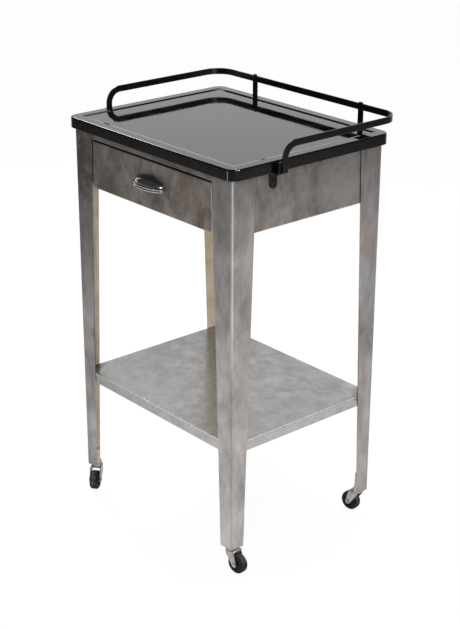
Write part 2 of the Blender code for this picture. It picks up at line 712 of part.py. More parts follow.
cart = empty("cart", None, (0.0, Y_SHIFT, 0.0))
tabletop(cart)
for tag in CASTER_YAW:
    side = 1 if tag.endswith("right") else -1
    front = tag.startswith("front")
    leg("leg_" + tag, cart, side, front)
    caster(tag, cart, side, front)
aprons(cart)
shelf(cart)
drawer(cart)
runners(cart)
guard_rail(cart)
straps(cart)
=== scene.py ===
import math

import bmesh
import bpy
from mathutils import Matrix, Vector


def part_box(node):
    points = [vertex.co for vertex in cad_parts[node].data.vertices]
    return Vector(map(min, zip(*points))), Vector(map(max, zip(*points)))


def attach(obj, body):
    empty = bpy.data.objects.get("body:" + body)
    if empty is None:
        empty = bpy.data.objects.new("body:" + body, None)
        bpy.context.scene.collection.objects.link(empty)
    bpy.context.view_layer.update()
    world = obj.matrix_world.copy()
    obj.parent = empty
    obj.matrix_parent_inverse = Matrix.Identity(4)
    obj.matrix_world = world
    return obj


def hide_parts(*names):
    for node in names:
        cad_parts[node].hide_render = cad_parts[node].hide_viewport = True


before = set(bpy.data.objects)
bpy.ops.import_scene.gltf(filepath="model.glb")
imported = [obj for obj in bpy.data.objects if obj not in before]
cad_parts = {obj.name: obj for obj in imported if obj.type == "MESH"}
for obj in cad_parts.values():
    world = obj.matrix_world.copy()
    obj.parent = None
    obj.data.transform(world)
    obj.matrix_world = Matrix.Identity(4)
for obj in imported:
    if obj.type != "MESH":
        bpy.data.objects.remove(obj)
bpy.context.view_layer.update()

# Sizes in metres. They follow the part's source, but for the panel's step, the legs' bend and the pull's wall
CLEAR = 0.0003
SHEET = 0.0015
THIN = 0.0012
EDGE_EASE = 0.0004        # eased edges of the top, rail, straps, forks and sockets
FINE_EASE = 0.0003        # eased edges of the legs and wheels

TOP_CORNER_R = 0.0220
RIM_H = 0.0217
RIM_EDGE_R = 0.0030
BORDER_OUTER = 0.0170     # raised border of the tabletop, out to where its corners draw together
BORDER_INNER = 0.0019     # and the last strip of it beside the step
CORNER_SLACK = 0.0010     # margin around the corner points that are drawn together
STEP_EASE = 0.0040        # first half of the step down to the panel
STEP_EASE_DROP = 0.0008
STEP_RUN = 0.0040         # second half of the step
STEP_RUN_DROP = 0.0008
STEP_SOFT = 0.0008        # round along the step's lines
STEP_ANGLE = 12.0         # degrees, small enough to keep the step's mitres sharp

LEG_W_TOP = 0.0580
LEG_W_BOTTOM = 0.0323
LEG_BEND_R = 0.0034
LEG_FOOT = 0.0532         # heights of the legs' ends
LEG_HEAD = 0.8168
LEG_SIDE = 0.2425         # outer faces of the legs, from the middle of the frame
LEG_FRONT = 0.19225
LEG_MIDDLE = -0.00285

SHELF_EDGE = 0.0210
SHELF_FOLD_R = 0.0025
SHELF_CORNER_R = 0.0045
SHELF_HEM = 0.0080
HEM_FOLD_R = 0.0008

DRAWER_TOP_HALF = 0.18332
DRAWER_RETURN = 0.0140
DRAWER_FOLD_R = 0.0018

PULL_W = 0.0920
PULL_OUT = 0.0200
PULL_H = 0.0235
PULL_WALL = 0.0014
BEAD_R = 0.0022           # two rolled beads along the pull's lower lip
BEAD_LIFTS = (0.0024, 0.0070)
BEAD_SWEEP = 80.0         # degrees that a bead turns up and down
PULL_BROW = 0.0093        # where the dome starts above the beads
PULL_FULL = 0.9           # below one, the dome is fuller than an ellipse

RAIL_H = 0.0132
RAIL_T = 0.0032
RAIL_CORNER_R = 0.0420
RAIL_BEND_R = 0.0340
RAIL_EDGE_R = 0.0008

STRAP_T = 0.0025
STRAP_BEND_R = 0.0030
STRAP_LEDGE = 0.8128      # underside of the straps' ledge below the rim
BRACKET_END_R = 0.0070
STRAP_END_R = 0.0050
SCREW_R = 0.0042
SCREW_T = 0.0022
SCREW_SEAT = 0.0009       # middle of the screw's head off the strap
SCREW_EDGE = 0.0019       # the head's outer edge lies beyond this
SCREW_DOME = 0.0017
SCREW_LIFT = 0.0135       # above the strap's lower end
SLOT_SEAT = 0.0020
SLOT_SIZE = (0.0012, 0.0120, 0.0010)
SLOT_TURN = 25.0

WHEEL_R = 0.02065
WHEEL_W = 0.0180
TREAD_R = 0.0050
TREAD_SLACK = 0.0004      # a facet's middle lies this little inside the wheel's round
BORE_SLACK = 0.0020       # faces further out than this from the hub are the tread
HUB_R = 0.0120
HUB_BOSS_R = 0.0054
HUB_DISH = 0.0015
HUB_RIM = 0.0010          # flat rim of the hub's face
HUB_SLOPE = 0.0006
HUB_HOLLOW = 0.0012
AXLE_R = 0.0024
AXLE_HEAD_R = 0.0043
AXLE_HEAD_T = 0.0016
AXLE_DOME = 0.0012
CHEEK_IN = 0.0102
CHEEK_OUT = 0.0122
FORK_T = 0.0020
FORK_FOLD_R = 0.0032
FORK_END_R = 0.0056
FORK_END_ARC = (215.0, 380.0)
FORK_NOSE = 0.0136
FORK_HEEL = 0.6           # where the shoulder ends, as a share of the fork's half width
FORK_SHOULDER = 0.0065
CROWN_TOP = 0.0502
TRAIL = 0.0170
STEM_R = 0.0048
SOCKET_R = 0.0070
SOCKET_PLATE = 0.0025
SOCKET_MARGIN = 0.0010    # plate left around the socket's tube
STEM_DISC_R = 0.0125
STEM_NECK_R = 0.0040
STEM_HEAD_R = 0.0065
STEM_HEAD_T = 0.0017
STEM_END = 0.0890
DISC_TOP = 0.0527
DISC_BOTTOM = 0.0505
STEM_HEAD_TOP = 0.0479
STEM_EASE = 0.0006

CASTER_YAW = {
    "front_left": 308.0,
    "front_right": 5.0,
    "back_left": 214.0,
    "back_right": 186.0,
}
# The other three corners, as mirrored copies of the front right one
FLIPS = {
    "front_left": (-1.0, 1.0, 1.0),
    "back_right": (1.0, -1.0, 1.0),
    "back_left": (-1.0, -1.0, 1.0),
}
NEAR = 0.00002            # how close a point has to be to count as on a line
FLAT = 0.9                # how much of its direction a face needs along an axis to count as facing it
SEED = (0.001, 0.001)     # a small plate to draw a line from

ORIGIN = (0.0, 0.0, 0.0)
RIGHT = Vector((1.0, 0.0, 0.0))
FRONT = Vector((0.0, -1.0, 0.0))
UP = Vector((0.0, 0.0, 1.0))
FACING_X = (0.0, math.pi / 2, 0.0)    # turns that stand a plate or rod along X or Y
FACING_Y = (math.pi / 2, 0.0, 0.0)


# Modelling by hand
def select_only(piece):
    bpy.ops.object.select_all(action="DESELECT")
    piece.select_set(True)
    bpy.context.view_layer.objects.active = piece


def freeze():
    bpy.ops.object.transform_apply(location=True, rotation=True, scale=True)


def select_all():
    bpy.ops.mesh.select_all(action="SELECT")


def edit(piece):
    select_only(piece)
    bpy.ops.object.mode_set(mode="EDIT")
    bpy.ops.mesh.select_mode(type="VERT")
    select_all()


def done():
    bpy.ops.object.mode_set(mode="OBJECT")


def middle(item):
    if isinstance(item, bmesh.types.BMVert):
        return item.co
    if isinstance(item, bmesh.types.BMEdge):
        return (item.verts[0].co + item.verts[1].co) / 2
    return item.calc_center_median()


def lean(edge):
    """How much the slope changes across an edge between two faces."""
    if len(edge.link_faces) != 2:
        return 0.0
    first, second = edge.link_faces
    return abs(abs(first.normal.z) - abs(second.normal.z))


def pick(kind, wanted):
    bpy.ops.mesh.select_mode(type=kind)
    bpy.ops.mesh.select_all(action="DESELECT")
    mesh = bmesh.from_edit_mesh(bpy.context.object.data)
    for item in {"VERT": mesh.verts, "EDGE": mesh.edges, "FACE": mesh.faces}[kind]:
        if wanted(item):
            item.select_set(True)
    mesh.select_flush_mode()
    bmesh.update_edit_mesh(bpy.context.object.data)


def add_plate(name, centre, size, turn=ORIGIN):
    bpy.ops.object.select_all(action="DESELECT")
    bpy.ops.mesh.primitive_plane_add(size=1.0, location=centre, rotation=turn)
    plate = bpy.context.object
    plate.name = name
    plate.data.name = name
    plate.scale = (size[0], size[1], 1.0)
    freeze()
    return plate


def add_rod(name, centre, radius, length, sides, turn=ORIGIN):
    bpy.ops.object.select_all(action="DESELECT")
    bpy.ops.mesh.primitive_cylinder_add(
        vertices=sides, radius=radius, depth=length, location=centre, rotation=turn,
    )
    rod = bpy.context.object
    rod.name = name
    rod.data.name = name
    freeze()
    return rod


def paint(piece, *finishes):
    for finish in finishes:
        piece.data.materials.append(finish)


def inset(thickness, depth=0.0, each=False):
    bpy.ops.mesh.inset(thickness=thickness, depth=depth, use_individual=each)


def bore_through():
    """Joins the two holes that the selected faces leave."""
    bpy.ops.mesh.delete(type="FACE")
    pick("EDGE", lambda e: e.is_boundary)
    bpy.ops.mesh.bridge_edge_loops()


def shift(x, y, z):
    bpy.ops.transform.translate(value=(x, y, z))


def resize(factors, centre):
    bpy.ops.transform.resize(value=factors, center_override=centre)


def pull_edges(x, y, z):
    bpy.ops.mesh.extrude_edges_move(TRANSFORM_OT_translate={"value": (x, y, z)})


def pull_faces(x, y, z):
    bpy.ops.mesh.extrude_region_move(TRANSFORM_OT_translate={"value": (x, y, z)})


def draw_line(points):
    """Leaves one corner of a new plate and draws it out point by point."""
    bpy.ops.mesh.merge(type="CENTER")
    mesh = bmesh.from_edit_mesh(bpy.context.object.data)
    spot = mesh.verts[:][0].co.copy()
    shift(*(Vector(points[0]) - spot))
    for near, far in zip(points, points[1:]):
        bpy.ops.mesh.extrude_vertices_move(TRANSFORM_OT_translate={"value": Vector(far) - Vector(near)})


def swing(centre, axis, degrees, steps):
    bpy.ops.mesh.spin(steps=steps, angle=math.radians(degrees), center=centre, axis=axis)


def round_off(radius, segments, what):
    bpy.ops.mesh.bevel(offset=radius, offset_type="OFFSET", segments=segments, profile=0.5, affect=what)


def round_edges(radius, segments):
    round_off(radius, segments, "EDGES")


def round_points(radius, segments):
    round_off(radius, segments, "VERTICES")


def close_up():
    bpy.ops.mesh.select_mode(type="VERT")
    select_all()
    bpy.ops.mesh.remove_doubles(threshold=NEAR / 2)
    bpy.ops.mesh.select_mode(type="FACE")
    bpy.ops.mesh.select_all(action="DESELECT")
    bpy.ops.mesh.select_interior_faces()
    bpy.ops.mesh.delete(type="FACE")
    select_all()
    bpy.ops.mesh.normals_make_consistent(inside=False)


def show_side(direction):
    """Turns an open sheet so that its good side faces one way."""
    bpy.ops.mesh.select_mode(type="FACE")
    select_all()
    bpy.ops.mesh.normals_make_consistent(inside=False)
    mesh = bmesh.from_edit_mesh(bpy.context.object.data)
    lead = max(mesh.faces, key=lambda f: abs(f.normal.dot(direction)) * f.calc_area())
    if lead.normal.dot(direction) < 0.0:
        bpy.ops.mesh.flip_normals()


def arc(cx, cz, radius, start, end, steps):
    points = []
    for k in range(steps + 1):
        a = math.radians(start + (end - start) * k / steps)
        points.append((cx + radius * math.cos(a), cz + radius * math.sin(a)))
    return points


# Modifiers
def apply(piece, kind, **settings):
    select_only(piece)
    mod = piece.modifiers.new(kind.lower(), kind)
    for name, value in settings.items():
        setattr(mod, name, value)
    bpy.ops.object.modifier_apply(modifier=mod.name)


def thicken(piece, thickness, inside=0, rim=0):
    apply(
        piece, "SOLIDIFY", thickness=thickness, offset=-1.0, use_even_offset=True,
        use_quality_normals=True, material_offset=inside, material_offset_rim=rim,
    )


def ease(piece, width, segments=2, angle=40.0):
    sharp = math.radians(angle)
    apply(piece, "BEVEL", width=width, segments=segments, limit_method="ANGLE", angle_limit=sharp)


def trim(piece, tool, operation):
    apply(piece, "BOOLEAN", object=tool, operation=operation, solver="EXACT")
    bpy.data.objects.remove(tool, do_unlink=True)


def smooth(piece, angle):
    select_only(piece)
    bpy.ops.object.shade_smooth_by_angle(angle=math.radians(angle))
    apply(piece, "WEIGHTED_NORMAL", keep_sharp=True, weight=100)


def copy_of(piece, name):
    select_only(piece)
    bpy.ops.object.duplicate()
    twin = bpy.context.object
    twin.name = name
    twin.data.name = name
    return twin


def mirror(piece, flip, centre):
    edit(piece)
    resize(flip, centre)
    if flip[0] * flip[1] * flip[2] < 0.0:
        bpy.ops.mesh.flip_normals()
    done()


def set_down(piece, spot, degrees):
    piece.location = spot
    piece.rotation_euler = (0.0, 0.0, math.radians(degrees))
    select_only(piece)
    freeze()


def fit(piece, body, slot, *nodes, angle=35.0):
    """Smooths a finished piece and ties it to its body and nodes; the slot is not used."""
    smooth(piece, angle)
    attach(piece, body)
    if nodes:
        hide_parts(*nodes)


def fit_corners(first, name, centre, node):
    """Mirrors the front right piece to the other corners and fits all four."""
    pieces = {"front_right": first}
    for tag, flip in FLIPS.items():
        pieces[tag] = copy_of(first, name + tag)
        mirror(pieces[tag], flip, centre)
    for tag, piece in pieces.items():
        fit(piece, "frame", "steel", node + tag)


# Finishes, all from patterns on the pieces' own coordinates
RUBBER_SHEEN = 0.15       # dull, dusty rubber hardly mirrors the white studio


def grey(tone):
    return (tone, tone, tone)


def empty_tree(owner):
    owner.use_nodes = True
    owner.node_tree.nodes.clear()
    return owner.node_tree


def add_node(tree, kind, **values):
    node = tree.nodes.new("ShaderNode" + kind)
    for name, value in values.items():
        node.inputs[name].default_value = value
    return node


def feed(tree, socket, value):
    """Sets a number or a colour, or links what another node gives."""
    if isinstance(value, (int, float)):
        socket.default_value = value
    elif isinstance(value, tuple):
        socket.default_value = (*value, 1.0)
    else:
        tree.links.new(value, socket)


def new_finish(name, metallic=0.0, ior=None):
    mat = bpy.data.materials.new(name)
    tree = empty_tree(mat)
    out = add_node(tree, "OutputMaterial")
    shader = add_node(tree, "BsdfPrincipled", Metallic=metallic)
    if ior:
        shader.inputs["IOR"].default_value = ior
    tree.links.new(shader.outputs["BSDF"], out.inputs["Surface"])
    return mat, tree, shader, place_of(tree)


def place_of(tree):
    return add_node(tree, "TexCoord").outputs["Object"]


def stretch(tree, place, scale, offset=ORIGIN):
    mapping = add_node(tree, "Mapping", Scale=scale, Location=offset)
    tree.links.new(place, mapping.inputs["Vector"])
    return mapping.outputs["Vector"]


def cloud(tree, place, scale, detail=4.0, rough=0.55, twist=0.0):
    noise = add_node(tree, "TexNoise", Scale=scale, Detail=detail, Roughness=rough, Distortion=twist)
    tree.links.new(place, noise.inputs["Vector"])
    return noise.outputs["Fac"]


def ramp(tree, value, *stops):
    node = add_node(tree, "ValToRGB")
    marks = node.color_ramp.elements
    while len(marks) < len(stops):
        marks.new(0.5)
    for mark, (spot, colour) in zip(marks, stops):
        mark.position = spot
        mark.color = (*colour, 1.0)
    tree.links.new(value, node.inputs["Fac"])
    return node.outputs["Color"]


def spread(tree, value, low, high, to_low=0.0, to_high=1.0):
    node = add_node(tree, "MapRange")
    node.clamp = True
    for name, number in (("From Min", low), ("From Max", high), ("To Min", to_low), ("To Max", to_high)):
        node.inputs[name].default_value = number
    tree.links.new(value, node.inputs["Value"])
    return node.outputs["Result"]


def reckon(tree, kind, first, second=0.0):
    node = add_node(tree, "Math")
    node.operation = kind
    for socket, value in zip(node.inputs, (first, second)):
        feed(tree, socket, value)
    return node.outputs["Value"]


def plus(tree, first, second):
    return reckon(tree, "ADD", first, second)


def minus(tree, first, second):
    return reckon(tree, "SUBTRACT", first, second)


def times(tree, first, second):
    return reckon(tree, "MULTIPLY", first, second)


def greater(tree, first, second):
    return reckon(tree, "MAXIMUM", first, second)


def compare(tree, kind, place, other):
    """A point's distance from another, or how far a direction agrees with another."""
    node = add_node(tree, "VectorMath")
    node.operation = kind
    node.inputs[1].default_value = other
    tree.links.new(place, node.inputs[0])
    return node.outputs["Value"]


def blend(tree, share, first, second, kind="MIX"):
    node = add_node(tree, "Mix")
    node.data_type = "RGBA"
    node.blend_type = kind
    for k, value in ((0, share), (6, first), (7, second)):
        feed(tree, node.inputs[k], value)
    return node.outputs[2]


def axes_of(tree, place):
    node = add_node(tree, "SeparateXYZ")
    tree.links.new(place, node.inputs["Vector"])
    return node.outputs["X"], node.outputs["Y"], node.outputs["Z"]


def coat(tree, shader, tone, dull, height, depth, strength):
    """Links a finish's colour, roughness and relief."""
    tree.links.new(tone, shader.inputs["Base Color"])
    tree.links.new(dull, shader.inputs["Roughness"])
    bump = add_node(tree, "Bump", Strength=strength, Distance=depth)
    tree.links.new(height, bump.inputs["Height"])
    tree.links.new(bump.outputs["Normal"], shader.inputs["Normal"])


def near_spot(tree, place, spot, radius):
    """One near a point, fading to nothing at the radius."""
    return spread(tree, compare(tree, "DISTANCE", place, spot), 0.0, radius, 1.0, 0.0)


def behind_leg_faces(tree, axes):
    """How far a point lies behind the legs' outer faces, at the sides and at the front and back."""
    beside = minus(tree, LEG_SIDE, reckon(tree, "ABSOLUTE", axes[0]))
    from_middle = minus(tree, axes[1], LEG_MIDDLE)
    return beside, minus(tree, LEG_FRONT, reckon(tree, "ABSOLUTE", from_middle))


def shade_far_legs(tree, colour, axes, share):
    """Painted shade on the lower legs, away from the near one."""
    across, along, height = axes
    away = spread(tree, minus(tree, along, across), -0.30, 0.04, 0.0, share)
    grime = times(tree, away, spread(tree, height, 0.55, 0.70, 1.0, 0.0))
    return blend(tree, grime, colour, (0.10, 0.095, 0.09))


def paint_light_to_near_corner(tree, colour, axes):
    """Painted light: a shelf that gets lighter towards the near corner and darker towards the back left."""
    nearer = minus(tree, times(tree, axes[0], 1.4), times(tree, axes[1], 0.6))
    share = spread(tree, nearer, -0.39, 0.39)
    tone = ramp(tree, share, (0.0, grey(0.66)), (0.5, grey(0.885)), (1.0, grey(1.0)))
    return blend(tree, 1.0, colour, tone, "MULTIPLY")


def paint_fold_highlights(tree, colour, dull, axes):
    """A painted highlight down each leg's fold, where the metal is also worn smoother, that turns to painted
    shade lower down.
    """
    beside, before = behind_leg_faces(tree, axes)
    fold = spread(tree, plus(tree, beside, before), 0.0016, 0.0050, 1.0, 0.0)
    high = times(tree, fold, spread(tree, axes[2], 0.42, 0.56, 0.0, 0.85))
    fold_shade = times(tree, fold, spread(tree, axes[2], 0.40, 0.52, 0.32, 0.0))
    colour = blend(tree, high, colour, (0.86, 0.84, 0.81))
    colour = blend(tree, fold_shade, colour, (0.20, 0.185, 0.17))
    return colour, minus(tree, dull, times(tree, high, 0.12))


def rub_and_light_edges(tree, shader, colour, dull):
    """Pale, dull wear along the shelf's folded edges, standing in also for their highlights; the near-white
    front fold is a painted highlight.
    """
    facing = axes_of(tree, add_node(tree, "TexCoord").outputs["Normal"])
    off_side = spread(tree, facing[2], 0.05, 0.30)
    worn = times(tree, off_side, spread(tree, facing[2], 0.97, 0.997, 1.0, 0.0))
    front_highlight = times(tree, worn, spread(tree, facing[1], -0.45, -0.10, 1.0, 0.0))
    colour = blend(tree, times(tree, worn, 0.70), colour, grey(0.60))
    colour = blend(tree, front_highlight, colour, grey(0.98))
    dull = plus(tree, dull, times(tree, worn, 0.35))
    tree.links.new(spread(tree, worn, 0.0, 1.0, 1.0, 0.30), shader.inputs["Metallic"])
    return colour, dull


def paint_seam_shadows(tree, colour, axes):
    """Painted shadow in the joints where the aprons pass behind the legs' flanges, and faint painted shade on
    the aprons beside them.
    """
    flange = spread(tree, axes[2], LEG_FOOT, LEG_HEAD, LEG_W_BOTTOM, LEG_W_TOP)
    beside, before = behind_leg_faces(tree, axes)
    inward = minus(tree, greater(tree, beside, before), flange)
    colour = blend(tree, spread(tree, inward, 0.0004, 0.0026, 0.72, 0.0), colour, (0.05, 0.045, 0.04))
    return blend(tree, spread(tree, inward, 0.0, 0.035, 0.10, 0.0), colour, (0.10, 0.09, 0.08))


def light_drawer_ends(tree, colour, dull, axes, front):
    """Painted highlights on the folds at the drawer front's ends, and painted shadow on the edges behind its
    face.
    """
    inward = minus(tree, axes[1], front)
    ends = spread(tree, reckon(tree, "ABSOLUTE", axes[0]), 0.1780, 0.1800)
    worn = times(tree, ends, spread(tree, inward, 0.0, 0.0005))
    colour = blend(tree, worn, colour, (0.93, 0.92, 0.90))
    dull = minus(tree, dull, times(tree, worn, 0.10))
    behind = spread(tree, inward, 0.0016, 0.0030, 0.0, 0.92)
    return blend(tree, behind, colour, (0.02, 0.018, 0.016)), dull


def old_steel(
    name, tones, clouds, smear, grain, rough, bump=0.55, painted_light_below=None, painted_shade_under_rim=None, stains_light_and_shade=(),
    front=None, far_leg_shade=None, fold_highlights=False, seam_shadows=False, rubbed_and_lit_edges=False, painted_light_gradient=False,
):
    """Worn bare steel: smoky clouds, rub marks, brushed grain, warm and cool tints and a few brown stains,
    with painted light and shade where a finish asks for it.
    """
    mat, tree, shader, place = new_finish(name, 1.0)
    long = stretch(tree, place, smear)
    smoke = cloud(tree, long, clouds, 6.0, 0.58, 0.3)
    rubs = cloud(tree, long, clouds * 2.2, 5.0, 0.60, 0.6)
    both = plus(tree, times(tree, smoke, 0.62), times(tree, rubs, 0.38))
    dark, mid, light = tones
    colour = ramp(tree, both, (0.37, dark), (0.50, mid), (0.63, light))
    tint = cloud(tree, stretch(tree, place, smear, (3.1, 1.7, 5.3)), clouds * 0.8, 3.0, 0.5, 0.5)
    tint = ramp(tree, tint, (0.40, (0.985, 0.99, 1.0)), (0.60, (1.0, 0.972, 0.94)))
    colour = blend(tree, 1.0, colour, tint, "MULTIPLY")
    axes = axes_of(tree, place)
    height = axes[2]
    # painted light: the steel turns lighter below a height, down the legs and on the shelf's folded edges
    if painted_light_below:
        start, end, share, tone = painted_light_below
        colour = blend(tree, spread(tree, height, start, end, share, 0.0), colour, tone, "SCREEN")
    # painted shade on the far legs' lower parts
    if far_leg_shade:
        colour = shade_far_legs(tree, colour, axes, far_leg_shade)
    # painted light across the shelf, lighter towards the near corner
    if painted_light_gradient:
        colour = paint_light_to_near_corner(tree, colour, axes)
    # painted shade: the steel darkens just under the tabletop's rim, darkest at the top
    if painted_shade_under_rim:
        start, end, share = painted_shade_under_rim
        colour = blend(tree, spread(tree, height, start, end, 0.0, share), colour, grey(0.02))
    brushed = cloud(tree, stretch(tree, place, grain), 1.0, 3.0, 0.7)
    strokes = ramp(tree, brushed, (0.25, grey(0.2)), (0.75, grey(0.8)))
    colour = blend(tree, 0.20, colour, strokes, "OVERLAY")
    # brown stains, and patches of painted light and shade where a finish lists them
    for spot, radius, tone in stains_light_and_shade:
        patch_mask = times(tree, near_spot(tree, place, spot, radius), cloud(tree, place, 60.0, 4.0, 0.6))
        colour = blend(tree, spread(tree, patch_mask, 0.16, 0.42), colour, tone)
    dull = spread(tree, both, 0.36, 0.64, rough[1], rough[0])
    dull = plus(tree, dull, spread(tree, brushed, 0.2, 0.8, -0.05, 0.05))
    if fold_highlights:
        colour, dull = paint_fold_highlights(tree, colour, dull, axes)
    if rubbed_and_lit_edges:
        colour, dull = rub_and_light_edges(tree, shader, colour, dull)
    if seam_shadows:
        colour = paint_seam_shadows(tree, colour, axes)
    # painted highlight and painted shadow at the drawer front's ends
    if front is not None:
        colour, dull = light_drawer_ends(tree, colour, dull, axes, front)
    waves = times(tree, cloud(tree, place, 9.0, 2.0, 0.5, 0.6), 6.0)
    bumps = plus(tree, waves, plus(tree, brushed, times(tree, rubs, 1.5)))
    coat(tree, shader, colour, dull, bumps, 0.00018, bump)
    return mat


def old_cream():
    mat, tree, shader, place = new_finish("leg_cream")
    tone = ramp(
        tree, cloud(tree, place, 22.0, 5.0, 0.6, 0.4),
        (0.30, (0.79, 0.65, 0.46)), (0.52, (0.955, 0.842, 0.666)), (0.75, (0.97, 0.89, 0.735)),
    )
    drip = cloud(tree, stretch(tree, place, (60.0, 60.0, 7.0)), 1.0, 5.0, 0.65)
    tone = blend(tree, spread(tree, drip, 0.55, 0.72, 0.0, 0.6), tone, (0.40, 0.30, 0.17))
    chips = cloud(tree, place, 130.0, 4.0, 0.7)
    height = axes_of(tree, place)[2]
    worn = plus(tree, chips, spread(tree, height, 0.05, 0.40, 0.10, 0.0))
    bare = spread(tree, worn, 0.70, 0.75)
    tone = blend(tree, bare, tone, (0.17, 0.11, 0.065))
    dull = spread(tree, drip, 0.3, 0.7, 0.38, 0.6)
    coat(tree, shader, tone, dull, minus(tree, times(tree, chips, 0.3), bare), 0.0001, 0.6)
    return mat


def black_enamel():
    mat, tree, shader, place = new_finish("black_enamel", 0.0, 1.5)
    smear = cloud(tree, place, 16.0, 5.0, 0.6, 0.8)
    specks = cloud(tree, place, 420.0, 2.0, 0.5)
    tone = ramp(tree, smear, (0.3, (0.0025, 0.0025, 0.0024)), (0.7, (0.0095, 0.0092, 0.0085)))
    tone = blend(tree, spread(tree, specks, 0.70, 0.76, 0.0, 0.5), tone, grey(0.08))
    dull = spread(tree, smear, 0.3, 0.7, 0.03, 0.07)
    ripple = times(tree, cloud(tree, place, 7.0, 2.0, 0.5), 8.0)
    peel = times(tree, cloud(tree, place, 160.0, 2.0, 0.5), 0.12)
    coat(tree, shader, tone, dull, plus(tree, ripple, peel), 0.0001, 0.35)
    return mat


def rail_black():
    mat, tree, shader, place = new_finish("rail_paint", 0.0, 1.5)
    wear = cloud(tree, place, 60.0, 5.0, 0.65)
    chips = cloud(tree, place, 260.0, 3.0, 0.6)
    tone = ramp(tree, wear, (0.3, (0.0030, 0.0030, 0.0028)), (0.7, (0.0065, 0.0062, 0.0056)))
    bare = spread(tree, chips, 0.73, 0.76, 0.0, 0.8)
    tone = blend(tree, bare, tone, (0.16, 0.15, 0.14))
    dull = spread(tree, wear, 0.3, 0.7, 0.16, 0.30)
    coat(tree, shader, tone, dull, minus(tree, wear, bare), 0.00008, 0.5)
    return mat


def old_chrome():
    mat, tree, shader, place = new_finish("pull_chrome", 1.0)
    haze = cloud(tree, place, 90.0, 5.0, 0.65)
    pits = cloud(tree, place, 700.0, 2.0, 0.5)
    tone = ramp(tree, haze, (0.3, (0.72, 0.71, 0.69)), (0.7, (0.90, 0.90, 0.89)))
    tone = blend(tree, spread(tree, pits, 0.70, 0.74, 0.0, 0.8), tone, (0.12, 0.09, 0.06))
    coat(tree, shader, tone, spread(tree, haze, 0.3, 0.7, 0.16, 0.06), haze, 0.00006, 0.3)
    return mat


def old_zinc():
    mat, tree, shader, place = new_finish("fork_zinc", 1.0)
    grime = cloud(tree, place, 130.0, 5.0, 0.65, 0.5)
    spots = cloud(tree, place, 520.0, 3.0, 0.6)
    tone = ramp(
        tree, grime,
        (0.28, (0.30, 0.28, 0.25)), (0.50, (0.52, 0.51, 0.49)), (0.72, (0.66, 0.65, 0.63)),
    )
    tone = blend(tree, spread(tree, spots, 0.64, 0.72, 0.0, 0.7), tone, (0.14, 0.10, 0.07))
    dull = spread(tree, grime, 0.3, 0.7, 0.58, 0.36)
    coat(tree, shader, tone, dull, plus(tree, grime, spots), 0.00010, 0.4)
    return mat


def dark_wheel(name, low, high, rough):
    mat, tree, shader, place = new_finish(name)
    shader.inputs["Specular IOR Level"].default_value = RUBBER_SHEEN
    dust = cloud(tree, place, 110.0, 5.0, 0.65, 0.4)
    scuff = cloud(tree, place, 600.0, 3.0, 0.6)
    tone = ramp(tree, dust, (0.41, low), (0.62, high))
    tone = blend(tree, spread(tree, scuff, 0.60, 0.75, 0.0, 0.35), tone, (0.11, 0.105, 0.10))
    dull = spread(tree, dust, 0.3, 0.7, *rough)
    coat(tree, shader, tone, dull, plus(tree, dust, times(tree, scuff, 0.5)), 0.00015, 0.5)
    return mat


enamel = black_enamel()
rail_paint = rail_black()
leg_cream = old_cream()
SHELF_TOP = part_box("shelf")[1].z
leg_steel = old_steel(
    "leg_steel", ((0.355, 0.330, 0.318), (0.535, 0.497, 0.482), (0.70, 0.66, 0.645)),
    clouds=17.0, smear=(1.0, 1.0, 0.5), grain=(420.0, 420.0, 9.0), rough=(0.32, 0.50),
    painted_light_below=(0.10, 0.75, 0.35, (0.28, 0.30, 0.31)), painted_shade_under_rim=(0.803, 0.8170, 0.35),
    # the dark patch at the front left leg's top is painted shade with some brown dirt in it
    stains_light_and_shade=(((-0.235, -0.195, 0.74), 0.16, (0.24, 0.21, 0.195)),), far_leg_shade=0.33, fold_highlights=True,
)
shelf_steel = old_steel(
    "shelf_steel", ((0.462, 0.455, 0.453), (0.510, 0.504, 0.504), (0.564, 0.559, 0.560)),
    clouds=24.0, smear=(1.0, 1.0, 1.0), grain=(90.0, 90.0, 90.0), rough=(0.20, 0.33), bump=0.22,
    painted_light_below=(SHELF_TOP - 0.0035, SHELF_TOP - 0.0006, 0.32, grey(0.36)),
    stains_light_and_shade=(
        ((-0.240, -0.170, 0.283), 0.045, (0.16, 0.11, 0.075)),
        ((0.240, 0.160, 0.283), 0.030, (0.15, 0.11, 0.08)),
    ),
    rubbed_and_lit_edges=True, painted_light_gradient=True,
)
drawer_steel = old_steel(
    "drawer_steel", ((0.32, 0.275, 0.245), (0.52, 0.455, 0.415), (0.71, 0.645, 0.60)),
    clouds=21.0, smear=(1.0, 1.0, 0.8), grain=(120.0, 120.0, 30.0), rough=(0.36, 0.54),
    stains_light_and_shade=(((-0.14, -0.200, 0.710), 0.085, (0.33, 0.29, 0.265)),), front=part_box("drawer_front")[0].y,
)
tray_steel = old_steel(
    "tray_steel", ((0.33, 0.30, 0.28), (0.50, 0.465, 0.44), (0.66, 0.62, 0.59)),
    clouds=16.0, smear=(1.0, 1.0, 0.8), grain=(120.0, 40.0, 120.0), rough=(0.34, 0.50),
)
apron_steel = old_steel(
    "apron_steel", ((0.27, 0.245, 0.228), (0.44, 0.408, 0.388), (0.60, 0.57, 0.55)),
    clouds=20.0, smear=(1.0, 1.0, 0.8), grain=(120.0, 120.0, 30.0), rough=(0.34, 0.52),
    painted_shade_under_rim=(0.801, 0.8170, 0.40), seam_shadows=True,
    # the pale patch at the right apron's back end is painted light
    stains_light_and_shade=(((0.2425, 0.105, 0.755), 0.13, (0.55, 0.515, 0.495)),),
)
